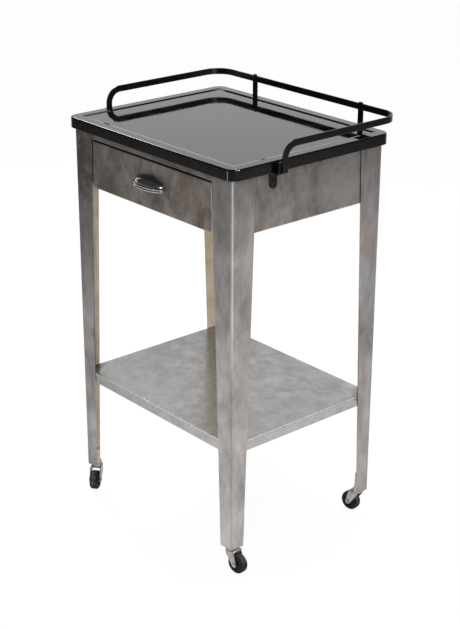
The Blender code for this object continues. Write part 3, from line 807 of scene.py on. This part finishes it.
front_rail_steel = old_steel(
    "front_rail_steel", ((0.30, 0.272, 0.255), (0.46, 0.425, 0.405), (0.62, 0.585, 0.565)),
    clouds=20.0, smear=(0.5, 1.0, 1.6), grain=(30.0, 120.0, 300.0), rough=(0.34, 0.50),
)
pull_chrome = old_chrome()
fork_zinc = old_zinc()
hub_black = dark_wheel("hub_black", grey(0.012), (0.030, 0.028, 0.027), (0.40, 0.62))
tyre_rubber = dark_wheel("tyre_rubber", grey(0.012), (0.034, 0.033, 0.032), (0.50, 0.74))
tread_rubber = dark_wheel("tread_rubber", (0.014, 0.014, 0.013), (0.150, 0.145, 0.137), (0.55, 0.80))


# Tabletop
def make_tabletop():
    low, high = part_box("tabletop")
    mid = (low + high) / 2
    half_x = (high.x - low.x) / 2
    half_y = (high.y - low.y) / 2
    top = add_plate("enamel_tabletop", (mid.x, mid.y, high.z), (half_x * 2, half_y * 2))
    paint(top, enamel)
    edit(top)
    round_points(TOP_CORNER_R, 12)
    pick("FACE", lambda f: True)
    inset(BORDER_OUTER)
    turn_x = half_x - TOP_CORNER_R - CORNER_SLACK
    turn_y = half_y - TOP_CORNER_R - CORNER_SLACK
    past_x = half_x - BORDER_OUTER + NEAR
    past_y = half_y - BORDER_OUTER + NEAR
    for side_x in (-1.0, 1.0):
        for side_y in (-1.0, 1.0):
            pick("VERT", lambda v: turn_x < (v.co.x - mid.x) * side_x < past_x
                 and turn_y < (v.co.y - mid.y) * side_y < past_y)
            bpy.ops.mesh.merge(type="CENTER")
    pick("FACE", lambda f: f.calc_area() > half_x * half_y)
    inset(BORDER_INNER)
    inset(STEP_EASE, -STEP_EASE_DROP)
    inset(STEP_RUN, -STEP_RUN_DROP)
    pick("EDGE", lambda e: lean(e) > 0.005)
    round_edges(STEP_SOFT, 3)
    pick("EDGE", lambda e: e.is_boundary)
    pull_edges(0.0, 0.0, -RIM_H)
    pick("EDGE", lambda e: lean(e) > FLAT)
    round_edges(RIM_EDGE_R, 10)
    show_side(UP)
    done()
    thicken(top, SHEET)
    ease(top, EDGE_EASE)
    fit(top, "frame", "enamel", "tabletop", angle=STEP_ANGLE)


# Guard rail, a flat bar on edge
def make_guard_rail():
    low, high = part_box("guard_rail")
    bar_x, bar_y, top_z = high
    front_y = low.y
    foot = low.z
    bend_y = front_y + RAIL_BEND_R
    bend_z = top_z - RAIL_BEND_R
    turn_x = bar_x - RAIL_CORNER_R
    turn_y = bar_y - RAIL_CORNER_R
    rail = add_plate("guard_rail_bar", (-bar_x + RAIL_T / 2, front_y + RAIL_H / 2, foot), (RAIL_T, RAIL_H))
    paint(rail, rail_paint)
    edit(rail)
    round_points(RAIL_EDGE_R, 3)
    pick("FACE", lambda f: True)
    pull_faces(0.0, 0.0, bend_z - foot)
    swing((-bar_x, bend_y, bend_z), RIGHT, 90.0, 16)
    pull_faces(0.0, turn_y - bend_y, 0.0)
    swing((-turn_x, turn_y, top_z), UP, 90.0, 18)
    pull_faces(turn_x * 2, 0.0, 0.0)
    swing((turn_x, turn_y, top_z), UP, 90.0, 18)
    pull_faces(0.0, bend_y - turn_y, 0.0)
    swing((bar_x, bend_y, bend_z), RIGHT, -90.0, 16)
    pull_faces(0.0, 0.0, foot - bend_z)
    close_up()
    done()
    ease(rail, EDGE_EASE, angle=60.0)
    fit(rail, "frame", "black_paint", "guard_rail")


# Straps that carry the rail
def make_strap(name, near, across, foot, reach, tip, end_r):
    """One strap that cranks out towards +X; near is its inner face and across its two sides."""
    mid = (across[0] + across[1]) / 2
    width = across[1] - across[0]
    face = near + STRAP_T
    strap = add_plate(name, (face, mid, (foot + STRAP_LEDGE) / 2), (STRAP_LEDGE - foot, width), FACING_X)
    paint(strap, rail_paint)
    edit(strap)
    pick("EDGE", lambda e: middle(e).z > STRAP_LEDGE - NEAR)
    pull_edges(reach, 0.0, 0.0)
    pull_edges(0.0, 0.0, tip - STRAP_LEDGE)
    pick("EDGE", lambda e: len(e.link_faces) == 2)
    round_edges(STRAP_BEND_R, 6)
    pick("VERT", lambda v: v.co.z < foot + NEAR)
    round_points(end_r, 8)
    pick("VERT", lambda v: v.co.z > tip - NEAR)
    round_points(STRAP_END_R, 8)
    show_side(RIGHT)
    done()
    thicken(strap, STRAP_T)
    ease(strap, EDGE_EASE)
    return strap


def make_straps():
    low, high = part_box("rail_bracket_right")
    reach = high.x - low.x - STRAP_T
    right = make_strap("bracket_strap_right", low.x, (low.y, high.y), low.z, reach, high.z, BRACKET_END_R)
    left = copy_of(right, "bracket_strap_left")
    mirror(left, FLIPS["front_left"], ORIGIN)
    fit(right, "frame", "black_paint", "rail_bracket_right")
    fit(left, "frame", "black_paint", "rail_bracket_left")

    low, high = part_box("rail_post_right")
    half = (high.x - low.x) / 2
    reach = high.y - low.y - STRAP_T
    right = make_strap("post_strap_right", low.y, (-half, half), low.z, reach, high.z, STRAP_END_R)
    set_down(right, ((low.x + high.x) / 2, 0.0, 0.0), 90.0)
    left = copy_of(right, "post_strap_left")
    set_down(left, (-(low.x + high.x), 0.0, 0.0), 0.0)
    fit(right, "frame", "black_paint", "rail_post_right")
    fit(left, "frame", "black_paint", "rail_post_left")


# Domed screws in the straps' tabs
def make_screws():
    low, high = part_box("rail_bracket_right")
    face = low.x + STRAP_T
    mid_y = (low.y + high.y) / 2
    drop = low.z + SCREW_LIFT
    seat = (face + SCREW_SEAT, mid_y, drop)
    screw = add_rod("strap_screw_bracket_right", seat, SCREW_R, SCREW_T, 24, FACING_X)
    paint(screw, rail_paint)
    edit(screw)
    pick("EDGE", lambda e: middle(e).x > face + SCREW_EDGE and len(e.link_faces) == 2)
    round_edges(SCREW_DOME, 4)
    done()
    trim(screw, add_slot_tool((face + SLOT_SEAT, mid_y, drop)), "DIFFERENCE")
    left = copy_of(screw, "strap_screw_bracket_left")
    mirror(left, FLIPS["front_left"], ORIGIN)
    twins = [screw, left]
    low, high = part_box("rail_post_right")
    for side, name in ((1.0, "strap_screw_post_right"), (-1.0, "strap_screw_post_left")):
        post = copy_of(screw, name)
        set_down(post, (0.0, -mid_y, 0.0), 0.0)
        set_down(post, (side * (low.x + high.x) / 2, low.y + STRAP_T - face, 0.0), 90.0)
        twins.append(post)
    for twin in twins:
        fit(twin, "frame", "black_paint")


def add_slot_tool(spot):
    bpy.ops.object.select_all(action="DESELECT")
    bpy.ops.mesh.primitive_cube_add(size=1.0, location=spot, rotation=(math.radians(SLOT_TURN), 0.0, 0.0))
    tool = bpy.context.object
    tool.scale = SLOT_SIZE
    freeze()
    return tool


# Legs
def make_legs():
    low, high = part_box("leg_front_right")
    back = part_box("leg_back_right")[1].y
    height = high.z - low.z
    taper = LEG_W_TOP - LEG_W_BOTTOM
    centre = (high.x, low.y + LEG_W_TOP / 2, (low.z + high.z) / 2)
    leg = add_plate("folded_leg_front_right", centre, (height, LEG_W_TOP), FACING_X)
    paint(leg, leg_steel, leg_cream)
    edit(leg)
    pick("EDGE", lambda e: middle(e).y < low.y + NEAR)
    pull_edges(-LEG_W_TOP, 0.0, 0.0)
    pick("VERT", lambda v: v.co.z < low.z + NEAR and v.co.y > low.y + NEAR)
    shift(0.0, -taper, 0.0)
    pick("VERT", lambda v: v.co.z < low.z + NEAR and v.co.x < high.x - NEAR)
    shift(taper, 0.0, 0.0)
    pick("EDGE", lambda e: len(e.link_faces) == 2)
    round_edges(LEG_BEND_R, 8)
    show_side(RIGHT)
    done()
    thicken(leg, SHEET, 1, 0)
    ease(leg, FINE_EASE)
    mid_y = (low.y + back) / 2
    fit_corners(leg, "folded_leg_", (0.0, mid_y, 0.0), "leg_")


# Lower shelf
def make_shelf():
    low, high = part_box("shelf")
    mid = (low + high) / 2
    width = high.x - low.x
    depth = high.y - low.y
    shelf = add_plate("folded_shelf", (mid.x, mid.y, high.z), (width, depth))
    paint(shelf, shelf_steel)
    edit(shelf)
    round_points(SHELF_CORNER_R, 6)
    pick("EDGE", lambda e: e.is_boundary)
    pull_edges(0.0, 0.0, -SHELF_EDGE)
    pull_edges(0.0, 0.0, 0.0)
    hem = ((width - SHELF_HEM * 2) / width, (depth - SHELF_HEM * 2) / depth, 1.0)
    resize(hem, (mid.x, mid.y, high.z - SHELF_EDGE))
    pick("EDGE", lambda e: middle(e).z > high.z - NEAR)
    round_edges(SHELF_FOLD_R, 6)
    pick("EDGE", lambda e: middle(e).z < low.z + NEAR and lean(e) > 0.5)
    round_edges(HEM_FOLD_R, 3)
    show_side(UP)
    done()
    thicken(shelf, THIN)
    fit(shelf, "frame", "steel", "shelf")


# Drawer front
def make_drawer_front():
    low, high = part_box("drawer_front")
    mid = (low + high) / 2
    width = high.x - low.x
    front = add_plate("drawer_front_panel", (mid.x, low.y, mid.z), (width, high.z - low.z), FACING_Y)
    paint(front, drawer_steel)
    edit(front)
    pick("VERT", lambda v: v.co.z > mid.z and v.co.x > 0.0)
    shift(DRAWER_TOP_HALF - width / 2, 0.0, 0.0)
    pick("VERT", lambda v: v.co.z > mid.z and v.co.x < 0.0)
    shift(width / 2 - DRAWER_TOP_HALF, 0.0, 0.0)
    pick("EDGE", lambda e: e.is_boundary)
    pull_edges(0.0, DRAWER_RETURN, 0.0)
    pick("EDGE", lambda e: middle(e).y < low.y + NEAR)
    round_edges(DRAWER_FOLD_R, 5)
    show_side(FRONT)
    done()
    thicken(front, THIN)
    fit(front, "drawer", "steel", "drawer_front")


# Cup pull, with two beads along its lower lip
def make_pull():
    low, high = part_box("drawer_pull")
    wall_y = high.y
    base = low.z
    section = [(PULL_OUT - BEAD_R, base)]
    for lift in BEAD_LIFTS:
        section += arc(PULL_OUT - BEAD_R, base + lift, BEAD_R, -BEAD_SWEEP, BEAD_SWEEP, 6)
    steps = 14
    for k in range(steps + 1):
        a = math.radians(90.0 * k / steps)
        out = (PULL_OUT - BEAD_R) * math.cos(a) ** PULL_FULL
        up = PULL_BROW + (PULL_H - PULL_BROW) * math.sin(a) ** PULL_FULL
        section.append((max(out, 0.0), base + up))
    pull = add_plate("cup_pull", (0.0, wall_y, base), SEED)
    paint(pull, pull_chrome)
    edit(pull)
    draw_line([(-r, wall_y, z) for r, z in section])
    pick("EDGE", lambda e: True)
    swing((0.0, wall_y, base), UP, -180.0, 48)
    select_all()
    wider = PULL_W / 2 / PULL_OUT
    resize((wider, 1.0, 1.0), (0.0, wall_y, base))
    select_all()
    bpy.ops.mesh.remove_doubles(threshold=NEAR)
    show_side(FRONT)
    done()
    thicken(pull, PULL_WALL)
    fit(pull, "drawer", "chrome", "drawer_pull", angle=50.0)


# Casters, modelled once with the wheel trailing towards +X, then copied to the four corners
def make_fork():
    back = -STEM_DISC_R * 2
    length = STEM_DISC_R * 2 + TRAIL * 2
    fork = add_plate("caster_fork_arch", (back + length / 2, 0.0, CROWN_TOP), (length, CHEEK_OUT * 2))
    paint(fork, fork_zinc)
    edit(fork)
    pick("EDGE", lambda e: abs(abs(middle(e).y) - CHEEK_OUT) < NEAR)
    pull_edges(0.0, 0.0, -CROWN_TOP)
    pick("EDGE", lambda e: len(e.link_faces) == 2)
    round_edges(FORK_FOLD_R, 6)
    show_side(UP)
    done()
    thicken(fork, FORK_T)

    top = CROWN_TOP + FORK_T
    shoulder = CROWN_TOP - FORK_SHOULDER
    side = [(FORK_NOSE, top), (-CHEEK_OUT * 2, top), (-CHEEK_OUT * 2, shoulder)]
    side += [(-CHEEK_OUT * FORK_HEEL, shoulder)]
    side += arc(TRAIL, WHEEL_R, FORK_END_R, *FORK_END_ARC, 18)
    cheeks = add_plate("fork_side_tool", ORIGIN, SEED)
    edit(cheeks)
    draw_line([(x, -CHEEK_OUT * 2, z) for x, z in side])
    select_all()
    bpy.ops.mesh.edge_face_add()
    pull_faces(0.0, CHEEK_OUT * 4, 0.0)
    close_up()
    done()
    trim(fork, cheeks, "INTERSECT")

    plan = add_rod("fork_plan_tool", ORIGIN, CHEEK_OUT + CLEAR, top * 4, 64)
    edit(plan)
    pick("VERT", lambda v: v.co.x > NEAR)
    resize((0.0, 1.0, 1.0), ORIGIN)
    shift(TRAIL * 3, 0.0, 0.0)
    done()
    trim(fork, plan, "INTERSECT")
    hole = add_rod("fork_stem_tool", (0.0, 0.0, CROWN_TOP), STEM_NECK_R + CLEAR, FORK_T * 4, 32)
    trim(fork, hole, "DIFFERENCE")
    hole = add_rod("fork_axle_tool", (TRAIL, 0.0, WHEEL_R), AXLE_R + CLEAR, CHEEK_OUT * 4, 24, FACING_Y)
    trim(fork, hole, "DIFFERENCE")
    ease(fork, EDGE_EASE, angle=50.0)
    return fork


def make_axle():
    seat = CHEEK_OUT + CLEAR
    axle = add_rod("caster_axle_pin", (TRAIL, 0.0, WHEEL_R), AXLE_R, seat * 2, 24, FACING_Y)
    paint(axle, fork_zinc)
    edit(axle)
    for side in (-1.0, 1.0):
        pick("FACE", lambda f: middle(f).y * side > seat - NEAR)
        pull_faces(0.0, 0.0, 0.0)
        grow = AXLE_HEAD_R / AXLE_R
        resize((grow, 1.0, grow), (TRAIL, side * seat, WHEEL_R))
        pull_faces(0.0, side * AXLE_HEAD_T, 0.0)
        tip = side * (seat + AXLE_HEAD_T)
        pick("EDGE", lambda e: all(abs(v.co.y - tip) < NEAR for v in e.verts))
        round_edges(AXLE_DOME, 4)
    done()
    return axle


def off_axle(spot):
    return Vector((spot.x - TRAIL, spot.z - WHEEL_R)).length


def on_tread_edge(e):
    spot = middle(e)
    return abs(abs(spot.y) - WHEEL_W / 2) < NEAR and abs(off_axle(spot) - WHEEL_R) < TREAD_SLACK


def make_hub():
    face = WHEEL_W / 2 - HUB_DISH
    boss = CHEEK_IN - CLEAR
    hub = add_rod("caster_hub_core", (TRAIL, 0.0, WHEEL_R), HUB_R, face * 2, 48, FACING_Y)
    paint(hub, hub_black)
    edit(hub)
    pick("FACE", lambda f: abs(f.normal.y) > FLAT)
    inset(HUB_RIM, each=True)
    inset(HUB_SLOPE, -HUB_HOLLOW, each=True)
    inset(HUB_R - HUB_BOSS_R - HUB_RIM - HUB_SLOPE * 2, each=True)
    inset(HUB_SLOPE, boss - face + HUB_HOLLOW, each=True)
    inset(HUB_BOSS_R - AXLE_R - CLEAR, each=True)
    bore_through()
    close_up()
    done()
    ease(hub, FINE_EASE)
    return hub


def make_tyre():
    tyre = add_rod("caster_tyre_ring", (TRAIL, 0.0, WHEEL_R), WHEEL_R, WHEEL_W, 80, FACING_Y)
    paint(tyre, tyre_rubber, tread_rubber)
    edit(tyre)
    pick("FACE", lambda f: abs(f.normal.y) > FLAT)
    inset(WHEEL_R - HUB_R - CLEAR, each=True)
    bore_through()
    pick("EDGE", on_tread_edge)
    round_edges(TREAD_R, 9)
    close_up()
    pick("FACE", lambda f: abs(f.normal.y) < 0.4 and off_axle(middle(f)) > HUB_R + BORE_SLACK)
    bpy.context.object.active_material_index = 1
    bpy.ops.object.material_slot_assign()
    done()
    ease(tyre, FINE_EASE, angle=60.0)
    return tyre


def make_stem():
    centre = (0.0, 0.0, (DISC_TOP + DISC_BOTTOM) / 2)
    stem = add_rod("caster_stem_pin", centre, STEM_DISC_R, DISC_TOP - DISC_BOTTOM, 48)
    paint(stem, fork_zinc)
    edit(stem)
    pick("FACE", lambda f: f.normal.z > FLAT)
    inset(STEM_DISC_R - STEM_R)
    pull_faces(0.0, 0.0, STEM_END - DISC_TOP)
    pick("FACE", lambda f: f.normal.z < -FLAT)
    inset(STEM_DISC_R - STEM_NECK_R)
    pull_faces(0.0, 0.0, STEM_HEAD_TOP - DISC_BOTTOM)
    pull_faces(0.0, 0.0, 0.0)
    grow = STEM_HEAD_R / STEM_NECK_R
    resize((grow, grow, 1.0), (0.0, 0.0, STEM_HEAD_TOP))
    pull_faces(0.0, 0.0, -STEM_HEAD_T)
    done()
    ease(stem, STEM_EASE, 3)
    return stem


# Caster sockets: a tube on a corner plate that closes the foot of the leg
def make_sockets():
    low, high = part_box("caster_socket_front_right")
    stem_low, stem_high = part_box("caster_stem_front_right")
    stem = (stem_low + stem_high) / 2
    far_low, far_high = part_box("caster_socket_back_left")
    centre = ((low.x + high.x) / 2, (low.y + high.y) / 2, low.z)
    socket = add_plate("caster_socket_seat_front_right", centre, (high.x - low.x, high.y - low.y))
    paint(socket, leg_cream)
    edit(socket)
    cut = (SOCKET_R + SOCKET_MARGIN) / math.sqrt(2.0)
    corner = (stem.x - cut, stem.y + cut, low.z)
    bpy.ops.mesh.bisect(plane_co=corner, plane_no=(-1.0, 1.0, 0.0), clear_outer=True)
    select_all()
    pull_faces(0.0, 0.0, SOCKET_PLATE)
    close_up()
    done()
    centre = (stem.x, stem.y, (low.z + high.z + SOCKET_PLATE / 2) / 2)
    tube = add_rod("socket_tube_tool", centre, SOCKET_R, high.z - low.z - SOCKET_PLATE / 2, 40)
    trim(socket, tube, "UNION")
    centre = (stem.x, stem.y, (low.z + high.z) / 2)
    bore = add_rod("socket_bore_tool", centre, STEM_R + CLEAR, (high.z - low.z) * 2, 40)
    trim(socket, bore, "DIFFERENCE")
    ease(socket, EDGE_EASE, angle=50.0)
    mid_x = ((low.x + far_high.x) / 2 + (high.x + far_low.x) / 2) / 2
    mid_y = ((low.y + far_high.y) / 2 + (high.y + far_low.y) / 2) / 2
    fit_corners(socket, "caster_socket_seat_", (mid_x, mid_y, 0.0), "caster_socket_")


def make_casters():
    masters = (
        (make_stem(), "frame", "zinc", "caster_stem_"),
        (make_fork(), "swivel_", "zinc", "caster_fork_"),
        (make_axle(), "swivel_", "zinc", "caster_axle_"),
        (make_hub(), "wheel_", "hub", "caster_hub_"),
        (make_tyre(), "wheel_", "rubber", "caster_tyre_"),
    )
    for tag, yaw in CASTER_YAW.items():
        low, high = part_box("caster_stem_" + tag)
        spot = ((low.x + high.x) / 2, (low.y + high.y) / 2, 0.0)
        for master, body, slot, node in masters:
            piece = copy_of(master, master.name + "_" + tag)
            set_down(piece, spot, yaw)
            fit(piece, body if body == "frame" else body + tag, slot, node + tag)
    for master, body, slot, node in masters:
        bpy.data.objects.remove(master, do_unlink=True)


# Floor, background, lamps and camera
TARGET = Vector((0.01208, -0.00100, 0.43531))
VIEW = Vector((0.700453, -0.603711, 0.380655))
TILT = 0.17               # degrees that the camera leans
DISTANCE = 3.0117
LENS = 83.25
BACKDROP = Vector((-0.7612, 0.6485, 0.0))
STRIP_LIGHT = Vector((0.961, -0.276, 0.0))
PULL_SIDE = (-0.64, -0.77, 0.0)    # the dark side of the room, which the pull mirrors
# What the floor shows in mirrors, outwards from under the cart: painted light, bright near it and falling off
FLOOR_REACH = 4.0
FLOOR_LIGHT_IN_MIRRORS = (
    (0.00, grey(0.80)), (0.15, grey(0.85)), (0.25, grey(0.74)), (0.33, grey(0.68)),
    (0.38, (0.68, 0.675, 0.67)), (0.44, (0.56, 0.55, 0.54)), (0.51, (0.40, 0.39, 0.38)),
    (0.62, (0.35, 0.34, 0.33)), (0.80, (0.18, 0.175, 0.17)), (1.00, grey(0.10)),
)
# What the backdrop and the other walls show in mirrors, from the horizon upwards
BACKDROP_TONES = (
    (0.00, grey(0.85)), (0.08, grey(0.95)), (0.17, grey(1.0)), (0.45, grey(1.0)),
    (0.49, grey(0.42)), (0.54, grey(0.38)), (0.57, grey(0.035)),
)
WALL_TONES = ((0.0, grey(0.14)), (0.12, grey(0.17)), (0.45, grey(0.17)), (0.57, grey(0.035)))
# Painted pools of light on the floor, seen only in mirrors: place, radius and strength
GLARES = (((3.42, -0.85, 0.0), 0.50, 3.5), ((-0.30, -2.87, 0.0), 0.30, 4.0))
CEILING = 3.0
CEILING_LAMPS = ((0.62, 0.12), (0.86, 0.52), (0.80, 1.10))


def mix_surfaces(tree, share, first, second):
    node = add_node(tree, "MixShader")
    for socket, value in zip(node.inputs, (share, first.outputs[0], second.outputs[0])):
        tree.links.new(value, socket)
    return node


def seen_by(tree, out, soft, camera, mirrors):
    """Shows the studio in one way to soft light, in another to the camera and in a third to mirrors."""
    path = add_node(tree, "LightPath")
    straight = greater(tree, path.outputs["Is Camera Ray"], path.outputs["Is Transmission Ray"])
    first = mix_surfaces(tree, straight, soft, camera)
    second = mix_surfaces(tree, path.outputs["Is Glossy Ray"], first, mirrors)
    tree.links.new(second.outputs[0], out.inputs["Surface"])


def make_floor():
    bpy.ops.object.select_all(action="DESELECT")
    bpy.ops.mesh.primitive_plane_add(size=16.0, location=ORIGIN)
    floor = bpy.context.object
    floor.name = "studio_floor"
    mat = bpy.data.materials.new("studio_floor")
    tree = empty_tree(mat)
    out = add_node(tree, "OutputMaterial")
    paper = add_node(tree, "BsdfDiffuse", Color=(*grey(0.72), 1.0))
    shade = add_node(tree, "BsdfDiffuse", Color=(*grey(0.20), 1.0))
    glow = add_node(tree, "Emission", Strength=0.91)
    seen = add_node(tree, "AddShader")
    tree.links.new(glow.outputs[0], seen.inputs[0])
    tree.links.new(shade.outputs[0], seen.inputs[1])
    place = place_of(tree)
    away = spread(tree, compare(tree, "DISTANCE", place, (0.25, 0.15, 0.0)), 0.0, FLOOR_REACH)
    near = ramp(tree, away, *FLOOR_LIGHT_IN_MIRRORS)
    ahead = add_node(tree, "VectorMath")
    ahead.operation = "NORMALIZE"
    tree.links.new(place, ahead.inputs[0])
    facing = compare(tree, "DOT_PRODUCT", ahead.outputs["Vector"], BACKDROP)
    # painted light on the floor for mirrors: brighter towards the backdrop, with a pool of light before the
    # near leg
    behind = spread(tree, facing, 0.35, 0.75, 0.0, 0.75)
    lit = spread(tree, near_spot(tree, place, (1.40, -1.19, 0.0), 1.0), 0.0, 0.8, 0.0, 1.6)
    far = greater(tree, near, greater(tree, behind, lit))
    for spot, radius, glare in GLARES:
        far = greater(tree, far, spread(tree, near_spot(tree, place, spot, radius), 0.0, 0.4, 0.0, glare))
    mirrored = add_node(tree, "Emission")
    tree.links.new(far, mirrored.inputs["Color"])
    seen_by(tree, out, paper, seen, mirrored)
    paint(floor, mat)


def make_background():
    world = bpy.data.worlds.new("studio")
    bpy.context.scene.world = world
    tree = empty_tree(world)
    out = add_node(tree, "OutputWorld")
    sky = add_node(tree, "TexCoord").outputs["Generated"]
    height = axes_of(tree, sky)[2]
    band = ramp(tree, height, *BACKDROP_TONES)
    walls = ramp(tree, height, *WALL_TONES)
    pull_side = spread(tree, compare(tree, "DOT_PRODUCT", sky, PULL_SIDE), 0.1, 0.6)
    walls = blend(tree, pull_side, walls, grey(0.035))
    facing = spread(tree, compare(tree, "DOT_PRODUCT", sky, BACKDROP), 0.55, 0.80)
    room = blend(tree, facing, walls, band)
    strip = spread(tree, compare(tree, "DOT_PRODUCT", sky, STRIP_LIGHT), 0.955, 0.975, 0.0, 3.5)
    shine = times(tree, strip, spread(tree, height, 0.27, 0.42, 1.0, 0.0))
    white = add_node(tree, "Background", Color=(*grey(1.0), 1.0))
    soft = add_node(tree, "Background", Strength=0.45)
    mirrored = add_node(tree, "Background")
    tree.links.new(greater(tree, room, shine), mirrored.inputs["Color"])
    seen_by(tree, out, soft, white, mirrored)


def add_lamp(name, spot, aim, size, watts):
    data = bpy.data.lights.new(name, "AREA")
    data.shape = "RECTANGLE"
    data.size, data.size_y = size
    data.energy = watts
    lamp = bpy.data.objects.new(name, data)
    bpy.context.scene.collection.objects.link(lamp)
    lamp.location = spot
    lamp.rotation_euler = (Vector(aim) - Vector(spot)).to_track_quat("-Z", "Y").to_euler()
    lamp.visible_camera = False
    return lamp


def make_lamps():
    add_lamp("left_softbox", (-1.82, 0.42, 2.08), (-0.1, -0.2, 0.84), (0.50, 0.50), 13.0)
    fill = add_lamp("front_fill", (2.6, -2.6, 2.0), (0.0, 0.0, 0.45), (2.0, 2.0), 42.0)
    fill.visible_glossy = False
    for k, (x, y) in enumerate(CEILING_LAMPS, 1):
        bulb = add_lamp("ceiling_lamp_%d" % k, (x, y, CEILING), (x, y, 0.0), (0.13, 0.13), 50.0)
        bulb.visible_diffuse = False


def make_camera():
    data = bpy.data.cameras.new("photo_camera")
    data.sensor_width = 36.0
    data.lens = LENS
    data.clip_end = 60.0
    camera = bpy.data.objects.new("photo_camera", data)
    bpy.context.scene.collection.objects.link(camera)
    camera.location = TARGET + VIEW.normalized() * DISTANCE
    camera.rotation_euler = (-VIEW).to_track_quat("-Z", "Y").to_euler()
    camera.rotation_euler.rotate_axis("Z", math.radians(TILT))
    bpy.context.scene.camera = camera


def dress_frame():
    """Finishes for the CAD pieces that stay."""
    finishes = {
        "side_apron_left": apron_steel,
        "side_apron_right": apron_steel,
        "back_apron": apron_steel,
        "front_rail": front_rail_steel,
        "drawer_tray": tray_steel,
        "drawer_runner_left": leg_steel,
        "drawer_runner_right": leg_steel,
    }
    for node, finish in finishes.items():
        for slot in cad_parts[node].material_slots:
            slot.material = finish


bpy.context.scene.view_settings.view_transform = "Standard"
make_camera()
make_floor()
make_background()
make_lamps()
dress_frame()
make_tabletop()
make_guard_rail()
make_straps()
make_screws()
make_legs()
make_shelf()
make_drawer_front()
make_pull()
make_sockets()
make_casters()
